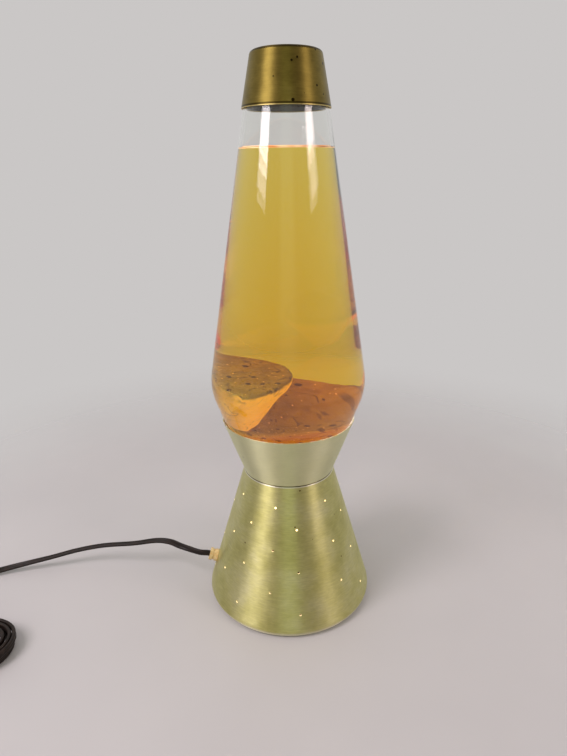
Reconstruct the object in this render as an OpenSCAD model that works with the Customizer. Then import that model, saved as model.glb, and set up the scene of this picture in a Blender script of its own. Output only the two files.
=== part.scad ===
// Liquid motion lamp: spun foot and cup, tapered bottle of liquid and wax, lift-off cap.
// Millimetres, +Z up, origin on the table under the middle of the foot, front toward -Y.

/* [Foot] */
// Diameter at which the foot's cone would meet the table
foot_d = 146.5; // [136:0.5:158]
// Diameter at the waist
waist_d = 75; // [70:0.5:84]
// Height of the lower cone
cone_h = 121.5; // [114:0.5:130]
// Diameter of the cup's rim
cup_d = 108.5; // [102:0.5:114]
// Height of the cup
cup_h = 46.5; // [42:0.5:52]
// Thickness of the spun sheet
sheet_t = 0.8; // [0.6:0.1:1.2]
// Rounding of the foot's lower edge
foot_round = 6; // [4:0.5:8]
// Reach of the foot's turned-in hem, measured in from that diameter
hem_w = 14; // [12.5:0.5:18]
// Width of the flanges turned in at the waist
flange_w = 5.5; // [4.5:0.5:6.5]
// Rounding of the two edges that meet at the waist
waist_round = 1; // [0.6:0.1:1.6]

/* [Waist eyelet] */
// Sheet thickness of the eyelet
eyelet_t = 0.8; // [0.6:0.1:1.2]
// Width of the eyelet's collars
eyelet_collar = 2.5; // [1.5:0.1:3]

/* [Pinholes] */
// Diameter of a pinhole
pinhole_d = 1.8; // [1:0.1:3]
// Number of rows
pinhole_rows = 6; // [3:1:7]
// Height of the lowest row above the table
pinhole_low = 20.5; // [15:0.5:26]
// Distance of the highest row below the waist
pinhole_high = 17; // [12:0.5:24]

/* [Bottom plate] */
// Thickness of the plate
plate_t = 1; // [0.8:0.1:1.6]
// Number of vents
vent_count = 10; // [6:1:14]
// Diameter of a vent
vent_d = 9; // [6:0.5:11]
// Radius of the vents' circle
vent_ring_r = 49; // [44:0.5:52]

/* [Lampholder] */
// Diameter of the moulded body
socket_d = 38; // [36:0.5:42]
// Height of the moulded body
socket_h = 34; // [32:0.5:36]
// Thickness of its floor
socket_floor = 9; // [8:0.5:10]
// Sheet thickness of the screw shell
socket_shell_t = 0.5; // [0.4:0.1:0.7]
// Reach of each fixing lug past the body
lug_reach = 11; // [10:0.5:14]
// Width of a fixing lug
lug_w = 11; // [10:0.5:14]
// Height of a fixing lug
lug_h = 6; // [5:0.5:8]
// Diameter of the fixing screws
screw_d = 4; // [3:0.5:4.5]
// Height of the fixing screws' heads
screw_head_h = 2.4; // [1.8:0.1:3]
// Diameter of the fixing screws' heads
screw_head_d = 7.5; // [6.5:0.1:8.5]
// Thickness of the fixing screws' nuts
nut_h = 0.7; // [0.5:0.1:0.7]
// Width across a terminal plate
terminal_w = 8; // [7:0.5:9]
// Height of a terminal plate
terminal_h = 16; // [15:0.5:18]
// Thickness of a terminal plate
terminal_t = 1; // [0.8:0.1:1.2]
// Diameter of the terminal screws
terminal_screw_d = 3.4; // [3:0.1:4]

/* [Bulb] */
// Largest diameter of the bulb's glass
bulb_d = 48; // [44:0.5:52]
// Length of the bulb from contact to crown
bulb_l = 89; // [84:0.5:92]
// Mean diameter of the bulb's screw thread
thread_d = 25.4; // [25:0.1:26]
// Pitch of the screw thread
thread_pitch = 3.6; // [3.2:0.1:4]
// Depth of the screw thread from root to crest
thread_depth = 0.66; // [0.5:0.02:0.8]
// Length of the screw cap with its thread
bulb_cap_l = 20; // [18:0.5:22]
// Thickness of the bulb's glass
bulb_glass_t = 0.8; // [0.6:0.1:1]

/* [Bottle] */
// Diameter at which the bottle's two tapers would meet
bottle_d = 125.6; // [120:0.2:130]
// Thickness of the glass wall
glass_t = 2.5; // [2:0.1:3]
// Thickness of the glass floor
glass_floor = 5; // [4:0.5:7]
// Height of the punt in the floor
punt_h = 5; // [3:0.5:7]
// Rounding between the bottle's two tapers
shoulder_round = 45; // [30:1:50]
// Rounding of the bottle's lower edge
heel_round = 3.5; // [2:0.1:4.5]
// Diameter of the neck
neck_d = 34; // [30:0.5:38]
// Height of the shoulder between taper and neck
neck_rise = 12; // [9:0.5:14]
// Depth of air between the cap's edge and the liquid
air_depth = 26; // [18:0.5:40]

/* [Wax] */
// Depth of the wax lump's top below the bottle's widest place
pool_drop = 24.5; // [20:0.5:28]
// Slope of the lump's top down to the front, in degrees
pool_slope = 16; // [10:0.5:20]
// Slope of the lump's top down to the right, in degrees
pool_lean = 10; // [2:0.5:14]
// Radius of the loose wax lobe's flat top
lobe_r = 43; // [40:0.5:46]
// Depth of the loose wax lobe
lobe_t = 46; // [42:0.5:50]
// Thickness of the lobe at its edge
lobe_lip = 9; // [7:0.5:12]
// Radius of the lobe's lower end
lobe_foot_r = 9; // [6:0.5:14]
// Rounding of the lobe's edge
lobe_round = 4; // [3:0.5:5]
// Wire diameter of the coil on the bottle's floor
coil_wire_d = 1.6; // [1.2:0.1:2]
// Turns of the coil
coil_turns = 2.5; // [1.5:0.5:3.5]

/* [Cap] */
// Total height of the lamp
lamp_h = 432; // [415:1:450]
// Height of the cap
cap_h = 35; // [32:0.5:40]
// Diameter of the cap's lower edge
cap_d = 62; // [58:0.5:66]
// Diameter of the cap's top
cap_top_d = 48.5; // [45:0.5:54]
// Rounding of the cap's top edge
cap_round = 3; // [2:0.5:4]
// Height of the closure under the cap
closure_h = 13; // [10:0.5:15]
// Sheet thickness of the closure
closure_t = 0.6; // [0.4:0.1:0.8]
// Thickness of the sealing disc in the closure
liner_t = 1.2; // [0.8:0.1:1.6]

/* [Cord] */
// Width of the flat twin cord
cord_w = 5.6; // [5:0.1:6.4]
// Thickness of the flat twin cord
cord_t = 2.8; // [2.4:0.1:3.2]
// Height of the cord's hole above the table
relief_z = 28; // [26:0.5:32]
// Length of the strain relief outside the wall
relief_out = 7.5; // [6.5:0.5:10]
// Length of the strain relief inside the wall
relief_in = 8; // [6:0.5:10]
// Diameter of the strain relief's collars
relief_d = 11; // [10.5:0.1:13]
// Diameter of the strain relief where it passes the wall
relief_neck_d = 9.6; // [9.2:0.1:10.4]
// Thickness of each of its collars
relief_collar = 2.6; // [2:0.1:3]
// Height of its clamping wedge
wedge_h = 1.6; // [1.2:0.1:1.8]
// Thickness of the tie round the hank
tie_t = 0.8; // [0.6:0.1:1.2]
// Width of the tie
tie_w = 5; // [3:0.5:8]
// Length of the plug's body
plug_l = 30; // [26:0.5:36]
// Width of the plug's body
plug_w = 25; // [22:0.5:28]
// Length of the plug's blades
blade_l = 16; // [14:0.5:18]

/* [Hidden] */
$fn = 96;

// Clearances: pieces of one body, and pieces that lift or turn apart
snug = 0.1;
loose = 0.6;
running = 0.3;

// Overrun of a cut past a face, and half length of the cuts through the spun wall
cut_past = 1;
wall_cut = 4;

// Radii and slopes of the foot's two cones
foot_r = foot_d / 2;
waist_r = waist_d / 2;
cup_r = cup_d / 2;
cone_lean = (foot_r - waist_r) / cone_h;
cone_angle = atan(cone_lean);
cup_lean = (cup_r - waist_r) / cup_h;
cone_wall = sheet_t / cos(cone_angle);
cup_wall = sheet_t / cos(atan(cup_lean));
waist_hole_r = waist_r - flange_w;
rim_z = cone_h + cup_h;
function cone_r(z) = foot_r - cone_lean * z;
function cup_in_r(z) = waist_r - cup_wall + cup_lean * (z - cone_h);

// Heights of what stands on the bottom plate
plate_top = sheet_t + plate_t;
foot_in_r = cone_r(sheet_t) - cone_wall;
plate_r = foot_in_r - (foot_round - sheet_t) / tan(45 - cone_angle / 2) - snug;
socket_floor_z = plate_top + socket_floor;
socket_top = plate_top + socket_h;
contact_h = 2.4;
bulb_z = socket_floor_z + contact_h;
contact_r = 6;
contact_tip_r = 3.5;
lug_hole_r = socket_d / 2 + lug_reach / 2;

// Screw thread shared by the bulb's cap and the lampholder's shell
insulator_h = 3.4;
insulator_r = 5;
tip_h = 1.2;
tip_r = 3.2;
shell_lip = 1;
cap_z0 = bulb_z + tip_h + insulator_h;
thread_gap = 0.35;
function thread_r(z) = thread_d / 2 + thread_depth / 2 * cos(360 * (z - cap_z0) / thread_pitch);
shell_bore_r = thread_d / 2 + thread_depth / 2 + thread_gap + socket_shell_t + snug;

// Bulb outline
bulb_top = bulb_z + bulb_l;
bulb_r = bulb_d / 2;
bulb_mid = bulb_top - bulb_r;
bulb_neck_play = 0.5;
bulb_neck_r = thread_d / 2 - thread_depth / 2 - bulb_neck_play;
bulb_neck_in_cap = 5;
bulb_neck_z = cap_z0 + bulb_cap_l - bulb_neck_in_cap;
bulb_neck_l = 12;
stem_r = 3;
stem_flare_h = 10;
stem_top = bulb_mid - 16;
filament_z = bulb_mid - 5;
filament_r = 9;
wire_r = 0.5;

// Terminal plates sit on two flats of the lampholder, either side of the cord's hole
terminal_turns = [135, 225];
terminal_flat_depth = 1.5;
terminal_flat = socket_d / 2 - terminal_flat_depth;
terminal_hole = 1.5;
terminal_z = socket_floor_z + 3;
terminal_screw_z = terminal_z + terminal_h - 5;
terminal_lead_z = terminal_z + 4;
lead_pull = 18;

// Bottle: lower taper lies inside the cup, upper taper runs from the shoulder to the cap's edge
bottle_z = cone_h + sheet_t + eyelet_t;
cap_z = lamp_h - cap_h;
cap_lean = (cap_d - cap_top_d) / 2 / cap_h;
neck_r = neck_d / 2;
neck_top = lamp_h - sheet_t - closure_t - liner_t;
corner_r = bottle_d / 2;
function heel_r(z) = cup_in_r(z) - loose;
corner_z = rim_z + (corner_r - heel_r(rim_z)) / cup_lean;
edge_r = cap_d / 2 - sheet_t - running;
taper = (corner_r - edge_r) / (cap_z - corner_z);
function taper_r(z) = corner_r - taper * (z - corner_z);
neck_up = 4;
neck_foot = cap_z + neck_up;
neck_play = 0.25;
shoulder_r = min(taper_r(neck_foot), edge_r - cap_lean * neck_up) - neck_play;
liquid_z = cap_z - air_depth;

// Round corner at b between straight runs from a and to c
function unit(v) = v / norm(v);
function round_corner(a, b, c, r, n) =
  let (u = unit(a - b), v = unit(c - b))
  let (half = acos(u * v) / 2, reach = r / tan(half))
  let (p = b + u * reach, q = b + v * reach, mid = b + unit(u + v) * r / sin(half))
  let (s = atan2(p[1] - mid[1], p[0] - mid[0]), e = atan2(q[1] - mid[1], q[0] - mid[0]))
  let (sweep = ((e - s + 540) % 360) - 180)
  [for (k = [0 : n]) mid + r * [cos(s + sweep * k / n), sin(s + sweep * k / n)]];

// Outer outline of the bottle from its heel to its lip
heel_flat_r = heel_r(bottle_z);
edge = [edge_r, cap_z];
shoulder_pts = concat(
  round_corner([heel_r(rim_z), rim_z], [corner_r, corner_z], edge, shoulder_round, 10), [edge]
);
neck_pts = [for (a = [0 : 15 : 90])
  [neck_r + (shoulder_r - neck_r) * cos(a), neck_foot + neck_rise * sin(a)]
];
bottle_outer = concat(
  round_corner([0, bottle_z], [heel_flat_r, bottle_z], [heel_r(rim_z), rim_z], heel_round, 4),
  shoulder_pts, neck_pts
);
punt_inset = 5;
punt_r = waist_hole_r - punt_inset;
floor_z = bottle_z + glass_floor;

// Inside of the bottle, drawn in by gap, filled up to height top
function inside_r(z) = (z < corner_z ? heel_r(z) : taper_r(z)) - glass_t;
function inside(gap, top) = concat(
  [[0, floor_z + punt_h + gap], [punt_r, floor_z + gap], [inside_r(floor_z) - gap, floor_z + gap]],
  [for (p = shoulder_pts) if (p[1] < top) [p[0] - glass_t - gap, p[1]]],
  [[inside_r(top) - gap, top], [0, top]]
);

// Wax
pool_z = corner_z - pool_drop;
lobe_at = [-38, -8, corner_z + 12.5];
lobe_tilt = [0, 7, 245];
lobe_draft = 3;
coil_r = (punt_r + inside_r(floor_z)) / 2;
coil_gap = 0.6;
coil_pitch = coil_wire_d + coil_gap;
coil_h = coil_pitch * coil_turns + coil_wire_d;

// Strain relief: its frame lies on the wall, square to it
relief_on = [-cone_r(relief_z), 0, relief_z];
relief_way = [-cos(cone_angle), 0, sin(cone_angle)];
cord_in = relief_on - relief_way * relief_in;
cord_out = relief_on + relief_way * relief_out;

// Hank of cord: folded loops lying on edge, drawn in at the waist, in two layers
hank_at = [-281, -68];
hank_turn = -23;
hank_reach = 56;
hank_swell = 32;
hank_waist = 0.75;
strand_gap = 0.6;
layer_gap = 0.5;
strand_step = cord_t + strand_gap;
layer_1 = tie_t + snug + cord_w / 2;
layer_2 = layer_1 + cord_w + layer_gap;
hank_start = 180;
hank_climb = hank_start + 2 * 360;
hank_back = hank_climb + 180;
hank_end = hank_back + 2 * 360 + 135;
hank_tail = 42;
function hank_core(a) =
  [hank_reach * cos(a), hank_swell * sin(a) * (1 - hank_waist * sin(a) * sin(a))];
function hank_way(a) =
  unit([-hank_reach * sin(a), hank_swell * cos(a) * (1 - 3 * hank_waist * sin(a) * sin(a))]);
function hank_loops(a) =
  let (off = max(hank_climb - a, a - hank_back, 0))
  off < 180 ? off / 180 : 1 + (off - 180) / 360;
function hank_rise(a) = min(max((a - hank_climb) / 180, 0), 1);
function hank_local(a) =
  let (p = hank_core(a), t = hank_way(a), out = strand_step * hank_loops(a))
  [p[0] + t[1] * out, p[1] - t[0] * out, layer_1 + (layer_2 - layer_1) * hank_rise(a)];
function hank_place(p) = [
  hank_at[0] + p[0] * cos(hank_turn) - p[1] * sin(hank_turn),
  hank_at[1] + p[0] * sin(hank_turn) + p[1] * cos(hank_turn),
  p[2]
];
hank_last = hank_local(hank_end);
tail_way = [hank_way(hank_end)[0], hank_way(hank_end)[1], 0];
plug_at = hank_last + tail_way * hank_tail;
hank_pts = concat(
  [for (a = [hank_start : 15 : hank_end]) hank_place(hank_local(a))],
  [for (k = [1 : 4]) hank_place(hank_last + tail_way * hank_tail * k / 4)]
);

// Least gap between two turns of the hank, measured between rings at least half a loop apart
function strand_distance(p, q) =
  max(norm([p[0] - q[0], p[1] - q[1]]) - cord_t, abs(p[2] - q[2]) - cord_w);
hank_gap = min([
  for (i = [0 : len(hank_pts) - 14]) for (j = [i + 12 : len(hank_pts) - 1])
    strand_distance(hank_pts[i], hank_pts[j])
]);
echo(least_gap_in_hank_mm = hank_gap);
echo(hank_length_mm = run_length(hank_pts));

// Free stretch of cord from the strain relief to the hank, with the roll of its flat at each point
hank_door = hank_place(hank_local(hank_start));
hank_door_way = hank_place([0, 0, 0]) - hank_place([0, 1, 0]);
hank_door_run = 1.5 * cord_w;
cord_route = [
  [cord_in, 90], [cord_out, 90], [cord_out + [-9, 0, 1], 90], [cord_out + [-18, 4, 1], 80],
  [cord_out + [-28, 9, 1], 60], [cord_out + [-40, 17, 0], 30], [cord_out + [-54, 21, -1.5], 10],
  [[-148, 21, 25.5], 0], [[-178, 24, 21], 0], [[-203, 23, 16.5], 0], [[-226, 19, 12], 0],
  [[-249, 15, 8], 10], [[-272, 9, 5], 30], [[-293, -1, layer_1], 60], [[-313, -15, layer_1], 90],
  [[-328, -30, layer_1], 90],
  [hank_door - hank_door_way * hank_door_run, 90], [hank_door, 90]
];

// Smooth run through hand-chosen points, n steps between two
function blend(a, b, c, d, t) =
  0.5 * (2 * b + (c - a) * t + (2 * a - 5 * b + 4 * c - d) * t * t
    + (3 * b - a - 3 * c + d) * t * t * t);
function spline(p, n) = concat(
  [for (i = [0 : len(p) - 2]) for (k = [0 : n - 1])
    blend(p[max(i - 1, 0)], p[i], p[i + 1], p[min(i + 2, len(p) - 1)], k / n)],
  [p[len(p) - 1]]
);
function run_length(p) = len(p) < 2 ? 0 :
  [for (i = [1 : len(p) - 1]) norm(p[i] - p[i - 1])] * [for (i = [1 : len(p) - 1]) 1];
cord_pts = spline([for (r = cord_route) r[0]], 2);
cord_rolls = spline([for (r = cord_route) r[1]], 2);
echo(free_cord_length_mm = run_length(cord_pts));

// Outline of a flat twin cord with n sides, and of a round wire
function flat_outline(n) = n == 6
  ? [[cord_w / 2, 0], [cord_w / 4, cord_t / 2], [-cord_w / 4, cord_t / 2],
     [-cord_w / 2, 0], [-cord_w / 4, -cord_t / 2], [cord_w / 4, -cord_t / 2]]
  : [[cord_w / 2, cord_t / 5], [cord_w / 3, cord_t / 2], [-cord_w / 3, cord_t / 2],
     [-cord_w / 2, cord_t / 5], [-cord_w / 2, -cord_t / 5], [-cord_w / 3, -cord_t / 2],
     [cord_w / 3, -cord_t / 2], [cord_w / 2, -cord_t / 5]];
function round_outline(d, n) = [for (k = [0 : n - 1]) d / 2 * [cos(360 * k / n), sin(360 * k / n)]];

// One closed tube with an outline carried along a run of points
module sweep(run, outline, rolls) {
  n = len(outline);
  last = len(run) - 1;
  rings = [for (i = [0 : last])
    let (t = unit(run[min(i + 1, last)] - run[max(i - 1, 0)]))
    let (side = unit(cross(t, [0, 0, 1])), up = cross(side, t))
    for (p = outline)
      run[i] + side * (p[0] * cos(rolls[i]) - p[1] * sin(rolls[i]))
        + up * (p[0] * sin(rolls[i]) + p[1] * cos(rolls[i]))
  ];
  walls = [for (i = [0 : last - 1]) for (k = [0 : n - 1])
    let (a = i * n + k, b = i * n + (k + 1) % n)
    each [[a, a + n, b], [b, a + n, b + n]]
  ];
  start_face = [for (k = [1 : n - 2]) [0, k, k + 1]];
  end_face = [for (k = [1 : n - 2]) [last * n, last * n + k + 1, last * n + k]];
  polyhedron(rings, concat(walls, start_face, end_face));
}

// Washer-shaped solid
module ring(outer_r, inner_r, h) {
  difference() {
    cylinder(r = outer_r, h = h);
    translate([0, 0, -cut_past]) cylinder(r = inner_r, h = h + 2 * cut_past);
  }
}

// Lower cone with its turned-in hem, waist flange, pinholes and cord hole
pinhole_turns = [
  [-62.5, -14.5, 44, 95, 146, 197, 248],
  [-40.5, 7.5, 67, 118, 170, 222, 272]
];
module base_cone() {
  hem = [foot_r - hem_w, 0];
  low = [foot_r, 0];
  high = [waist_r, cone_h];
  flange = [waist_hole_r, cone_h];
  low_in = [foot_in_r, sheet_t];
  high_in = [cone_r(cone_h - sheet_t) - cone_wall, cone_h - sheet_t];
  hem_in = hem + [0, sheet_t];
  color("darkkhaki") difference() {
    rotate_extrude() polygon(concat(
      [hem], round_corner(hem, low, high, foot_round, 5),
      round_corner(low, high, flange, waist_round, 4),
      [flange, flange - [0, sheet_t], high_in],
      round_corner(high_in, low_in, hem_in, foot_round - sheet_t, 5), [hem_in]
    ));
    pitch = (cone_h - pinhole_low - pinhole_high) / (pinhole_rows - 1);
    for (row = [0 : pinhole_rows - 1])
      for (turn = pinhole_turns[(row + 1) % 2])
        pinhole(pinhole_low + row * pitch, turn);
    translate(relief_on) rotate([0, cone_angle - 90, 0])
      cylinder(d = relief_neck_d + 2 * snug, h = 2 * wall_cut, center = true);
  }
}
module pinhole(z, turn) {
  rotate([0, 0, turn]) translate([0, -cone_r(z), z]) rotate([90 - cone_angle, 0, 0])
    cylinder(d = pinhole_d, h = 2 * wall_cut, center = true, $fn = 24);
}

// Cup that the bottle stands in
module cup() {
  wall_foot = [waist_r, cone_h];
  color("darkkhaki") rotate_extrude() polygon(concat(
    [[waist_hole_r, cone_h]],
    round_corner([waist_hole_r, cone_h], wall_foot, [cup_r, rim_z], waist_round, 4),
    [[cup_r, rim_z], [cup_r - cup_wall, rim_z],
     [cup_in_r(cone_h + sheet_t), cone_h + sheet_t], [waist_hole_r, cone_h + sheet_t]]
  ));
}

// Flanged ring that clamps the cone's and the cup's flanges together
module waist_eyelet() {
  tube_r = waist_hole_r - snug;
  low = cone_h - sheet_t - eyelet_t;
  color("silver") {
    translate([0, 0, low]) ring(tube_r, tube_r - eyelet_t, bottle_z - low);
    for (z = [low, cone_h + sheet_t])
      translate([0, 0, z]) ring(waist_hole_r + eyelet_collar, tube_r - eyelet_t / 2, eyelet_t);
  }
}

// Vented disc on the foot's hem
module bottom_plate() {
  color("gray") translate([0, 0, sheet_t]) difference() {
    cylinder(r = plate_r, h = plate_t);
    for (k = [0 : vent_count - 1])
      rotate([0, 0, 360 * k / vent_count]) translate([vent_ring_r, 0, -cut_past])
        cylinder(d = vent_d, h = plate_t + 2 * cut_past, $fn = 48);
    for (turn = [90, 270])
      rotate([0, 0, turn]) translate([lug_hole_r, 0, -cut_past])
        cylinder(d = screw_d + 2 * snug, h = plate_t + 2 * cut_past, $fn = 32);
  }
}

// Moulded lampholder with two lugs, two terminal flats and a bore for the screw shell
module socket_body() {
  color("saddlebrown") translate([0, 0, plate_top]) difference() {
    union() {
      cylinder(d = socket_d, h = socket_h);
      for (turn = [90, 270])
        rotate([0, 0, turn]) {
          translate([0, -lug_w / 2, 0]) cube([lug_hole_r, lug_w, lug_h]);
          translate([lug_hole_r, 0, 0]) cylinder(d = lug_w, h = lug_h);
        }
    }
    translate([0, 0, socket_floor]) cylinder(r = shell_bore_r, h = socket_h);
    for (turn = [90, 270])
      rotate([0, 0, turn]) translate([lug_hole_r, 0, -cut_past])
        cylinder(d = screw_d + 2 * snug, h = lug_h + 2 * cut_past, $fn = 32);
    for (turn = terminal_turns)
      rotate([0, 0, turn]) {
        translate([terminal_flat, -terminal_w / 2 - snug, terminal_z - plate_top - snug])
          cube([socket_d, terminal_w + 2 * snug, socket_h]);
        translate([terminal_flat - terminal_hole, 0, terminal_screw_z - plate_top]) rotate([0, 90, 0])
          cylinder(d = terminal_screw_d + 2 * snug, h = terminal_hole + cut_past, $fn = 32);
      }
  }
}

// Brass screw shell, whose thread follows the bulb's at a small gap
module socket_shell() {
  top = socket_top - shell_lip;
  step = thread_pitch / 6;
  inner = [for (z = [socket_floor_z : step : top]) [thread_r(z) + thread_gap, z]];
  outer = [for (k = [len(inner) - 1 : -1 : 0]) [inner[k][0] + socket_shell_t, inner[k][1]]];
  color("goldenrod") rotate_extrude() polygon(concat(inner, outer));
}

// Centre contact on the lampholder's floor
module socket_contact() {
  color("goldenrod") translate([0, 0, socket_floor_z]) {
    cylinder(r = contact_r, h = contact_h / 3);
    cylinder(r = contact_tip_r, h = contact_h);
  }
}

// Two screws through the lampholder's lugs and the plate
module socket_screws() {
  color("silver") for (turn = [90, 270])
    rotate([0, 0, turn]) translate([lug_hole_r, 0, 0]) {
      translate([0, 0, sheet_t - nut_h]) cylinder(d = screw_d, h = plate_t + lug_h + nut_h);
      translate([0, 0, plate_top + lug_h]) slotted_head(screw_head_d, screw_head_h);
    }
}

// Round screw head with a driver's slot
module slotted_head(d, h) {
  slot_w = d / 6;
  slot_depth = h * 0.4;
  difference() {
    cylinder(d = d, h = h);
    translate([-d, -slot_w / 2, h - slot_depth]) cube([2 * d, slot_w, slot_depth + cut_past]);
  }
}

// Thin nuts of those screws, under the plate
module socket_nuts() {
  color("silver") for (turn = [90, 270])
    rotate([0, 0, turn]) translate([lug_hole_r, 0, sheet_t - nut_h]) difference() {
      cylinder(d = screw_head_d + 1, h = nut_h, $fn = 6);
      translate([0, 0, -cut_past]) cylinder(d = screw_d + 2 * snug, h = nut_h + 2 * cut_past, $fn = 32);
    }
}

// Brass plates that the wires end on
module terminal_plates() {
  color("goldenrod") for (turn = terminal_turns)
    rotate([0, 0, turn]) difference() {
      translate([terminal_flat, -terminal_w / 2, terminal_z])
        cube([terminal_t, terminal_w, terminal_h]);
      translate([terminal_flat - cut_past, 0, terminal_screw_z]) rotate([0, 90, 0])
        cylinder(d = terminal_screw_d + 2 * snug, h = terminal_t + 2 * cut_past, $fn = 32);
    }
}

// Screws that clamp the wires on those plates
module terminal_screws() {
  head_d = terminal_screw_d + 2.6;
  head_h = 2;
  shank = terminal_hole - snug;
  color("goldenrod") for (turn = terminal_turns)
    rotate([0, 0, turn]) translate([terminal_flat - shank, 0, terminal_screw_z]) rotate([0, 90, 0]) {
      cylinder(d = terminal_screw_d, h = terminal_t + shank);
      translate([0, 0, terminal_t + shank]) slotted_head(head_d, head_h);
    }
}

// Curve from a to d that leaves toward b and arrives from c
function pulled(a, b, c, d, t) =
  let (u = 1 - t) u * u * u * a + 3 * u * u * t * b + 3 * u * t * t * c + t * t * t * d;

// One insulated wire from the cord's inner end to a terminal plate
module lead(turn, side) {
  wire_d = cord_t - 2 * snug;
  steps = 12;
  away = [cos(turn), sin(turn), 0];
  seat = away * (terminal_flat + terminal_t) + [0, 0, terminal_lead_z];
  from = cord_in - relief_way * snug + [sin(cone_angle), 0, cos(cone_angle)] * side * cord_w / 4;
  start = from - relief_way * wire_d;
  end = seat + away * wire_d;
  bend = [for (k = [0 : steps])
    pulled(start, start - relief_way * lead_pull, end + away * lead_pull, end, k / steps)];
  run = concat([from], bend, [seat]);
  sweep(run, round_outline(wire_d, 8), [for (p = run) 0]);
}
module lead_a() { color("saddlebrown") lead(terminal_turns[0], 1); }
module lead_b() { color("saddlebrown") lead(terminal_turns[1], -1); }

// Moulded strain relief: a neck through the wall with two collars outside
module relief_body() {
  color("wheat") translate(relief_on) rotate([0, cone_angle - 90, 0]) difference() {
    union() {
      translate([0, 0, -relief_in]) cylinder(d = relief_neck_d, h = relief_in + relief_out);
      translate([0, 0, snug]) cylinder(d = relief_d, h = relief_collar);
      translate([0, 0, relief_out - relief_collar]) cylinder(d = relief_d, h = relief_collar);
    }
    translate([-cord_w / 2 - snug, -cord_t / 2 - snug, -relief_in - cut_past])
      cube([cord_w + 2 * snug, cord_t + wedge_h + 3 * snug, relief_in + relief_out + 2 * cut_past]);
  }
}

// Wedge that clamps the cord in the strain relief
module relief_wedge() {
  color("wheat") translate(relief_on) rotate([0, cone_angle - 90, 0])
    translate([-cord_w / 2, cord_t / 2 + snug, -relief_in])
      cube([cord_w, wedge_h, relief_in + relief_out]);
}

// Free stretch of the flat twin cord
module cord() {
  color("#3a2a20") sweep(cord_pts, flat_outline(8), cord_rolls);
}

// Folded rest of the cord
module cord_hank() {
  color("#3a2a20") sweep(hank_pts, flat_outline(6), [for (p = hank_pts) 90]);
}

// Tie round the waist of the hank
module cord_tie() {
  strands = strand_step * hank_loops(hank_back + 2 * 360 + 90);
  half = hank_swell * (1 - hank_waist) + strands + cord_t / 2 + loose;
  top = layer_2 + cord_w / 2 + snug;
  color("dimgray") translate(concat(hank_at, 0)) rotate([0, 0, hank_turn])
    translate([-tie_w / 2, 0, 0]) difference() {
      translate([0, -half - tie_t, 0]) cube([tie_w, 2 * (half + tie_t), top + tie_t]);
      translate([-cut_past, -half, tie_t]) cube([tie_w + 2 * cut_past, 2 * half, top - tie_t]);
    }
}

// Two-pin plug at the end of the hank's tail, lying on the table
plug_half_h = layer_2;
plug_turn = atan2(tail_way[1], tail_way[0]);
module at_plug() {
  translate(hank_place(plug_at)) rotate([0, 0, hank_turn + plug_turn]) children();
}
module plug_body() {
  grip = 0.6;
  tail_l = 2;
  face_l = 10;
  color("#3a2a20") at_plug() hull() {
    rotate([0, 90, 0]) linear_extrude(tail_l)
      square([2 * plug_half_h * grip, plug_w * grip], center = true);
    translate([plug_l - face_l, 0, 0]) rotate([0, 90, 0]) linear_extrude(face_l)
      square([2 * plug_half_h, plug_w], center = true);
  }
}
module plug_blades() {
  blade_w = 6.3;
  blade_t = 1.5;
  blade_pitch = 12.7;
  blade_hole_d = 3;
  blade_hole_in = 4;
  color("silver") at_plug() for (side = [-1, 1])
    translate([plug_l, side * blade_pitch / 2, 0]) difference() {
      translate([0, -blade_t / 2, -blade_w / 2]) cube([blade_l, blade_t, blade_w]);
      translate([blade_l - blade_hole_in, 0, 0]) rotate([90, 0, 0])
        cylinder(d = blade_hole_d, h = 2 * blade_t, center = true, $fn = 24);
    }
}

// Bulb glass: a round crown that draws in to a neck inside the screw cap
function bulb_outline(gap) =
  let (low = -40, r = bulb_r - gap, n = bulb_neck_r - gap)
  let (from = [r * cos(low), bulb_mid + r * sin(low)], to = [n, bulb_neck_z + bulb_neck_l])
  concat(
    [[n, bulb_neck_z]],
    [for (k = [0 : 6]) let (t = k / 6)
      [to[0] + (from[0] - to[0]) * (0.2 * t * t + 0.8 * t * t * t), to[1] + (from[1] - to[1]) * t]],
    [for (a = [low + 10 : 10 : 90]) [r * cos(a), bulb_mid + r * sin(a)]]
  );
module bulb_glass() {
  skin = bulb_outline(0);
  hollow = bulb_outline(bulb_glass_t);
  color("ivory") rotate_extrude() polygon(concat(
    skin, [for (k = [len(hollow) - 1 : -1 : 0]) hollow[k]]
  ));
}

// Screw cap of the bulb, with its thread
module bulb_cap() {
  skin_t = 0.3;
  step = thread_pitch / 6;
  top = cap_z0 + bulb_cap_l;
  outer = concat(
    [for (z = [cap_z0 : step : socket_top]) [thread_r(z), z]],
    [[thread_d / 2, socket_top + step], [thread_d / 2, top]]
  );
  inner = [for (k = [len(outer) - 1 : -1 : 0]) [outer[k][0] - skin_t, outer[k][1]]];
  color("silver") rotate_extrude() polygon(concat(outer, inner));
}

// Dark insulator between the screw cap and the end contact
module bulb_insulator() {
  color("#202020") translate([0, 0, bulb_z + tip_h])
    cylinder(r1 = insulator_r, r2 = thread_d / 2 - thread_depth, h = insulator_h);
}

// End contact, flat on the lampholder's centre contact
module bulb_tip() {
  color("silver") translate([0, 0, bulb_z]) cylinder(r1 = tip_r, r2 = insulator_r, h = tip_h);
}

// Glass stem that carries the filament's wires
module bulb_stem() {
  flare_r = bulb_neck_r - bulb_glass_t - snug;
  color("ivory") translate([0, 0, bulb_neck_z]) {
    cylinder(r1 = flare_r, r2 = stem_r, h = stem_flare_h);
    cylinder(r = stem_r, h = stem_top - bulb_neck_z);
  }
}

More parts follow.
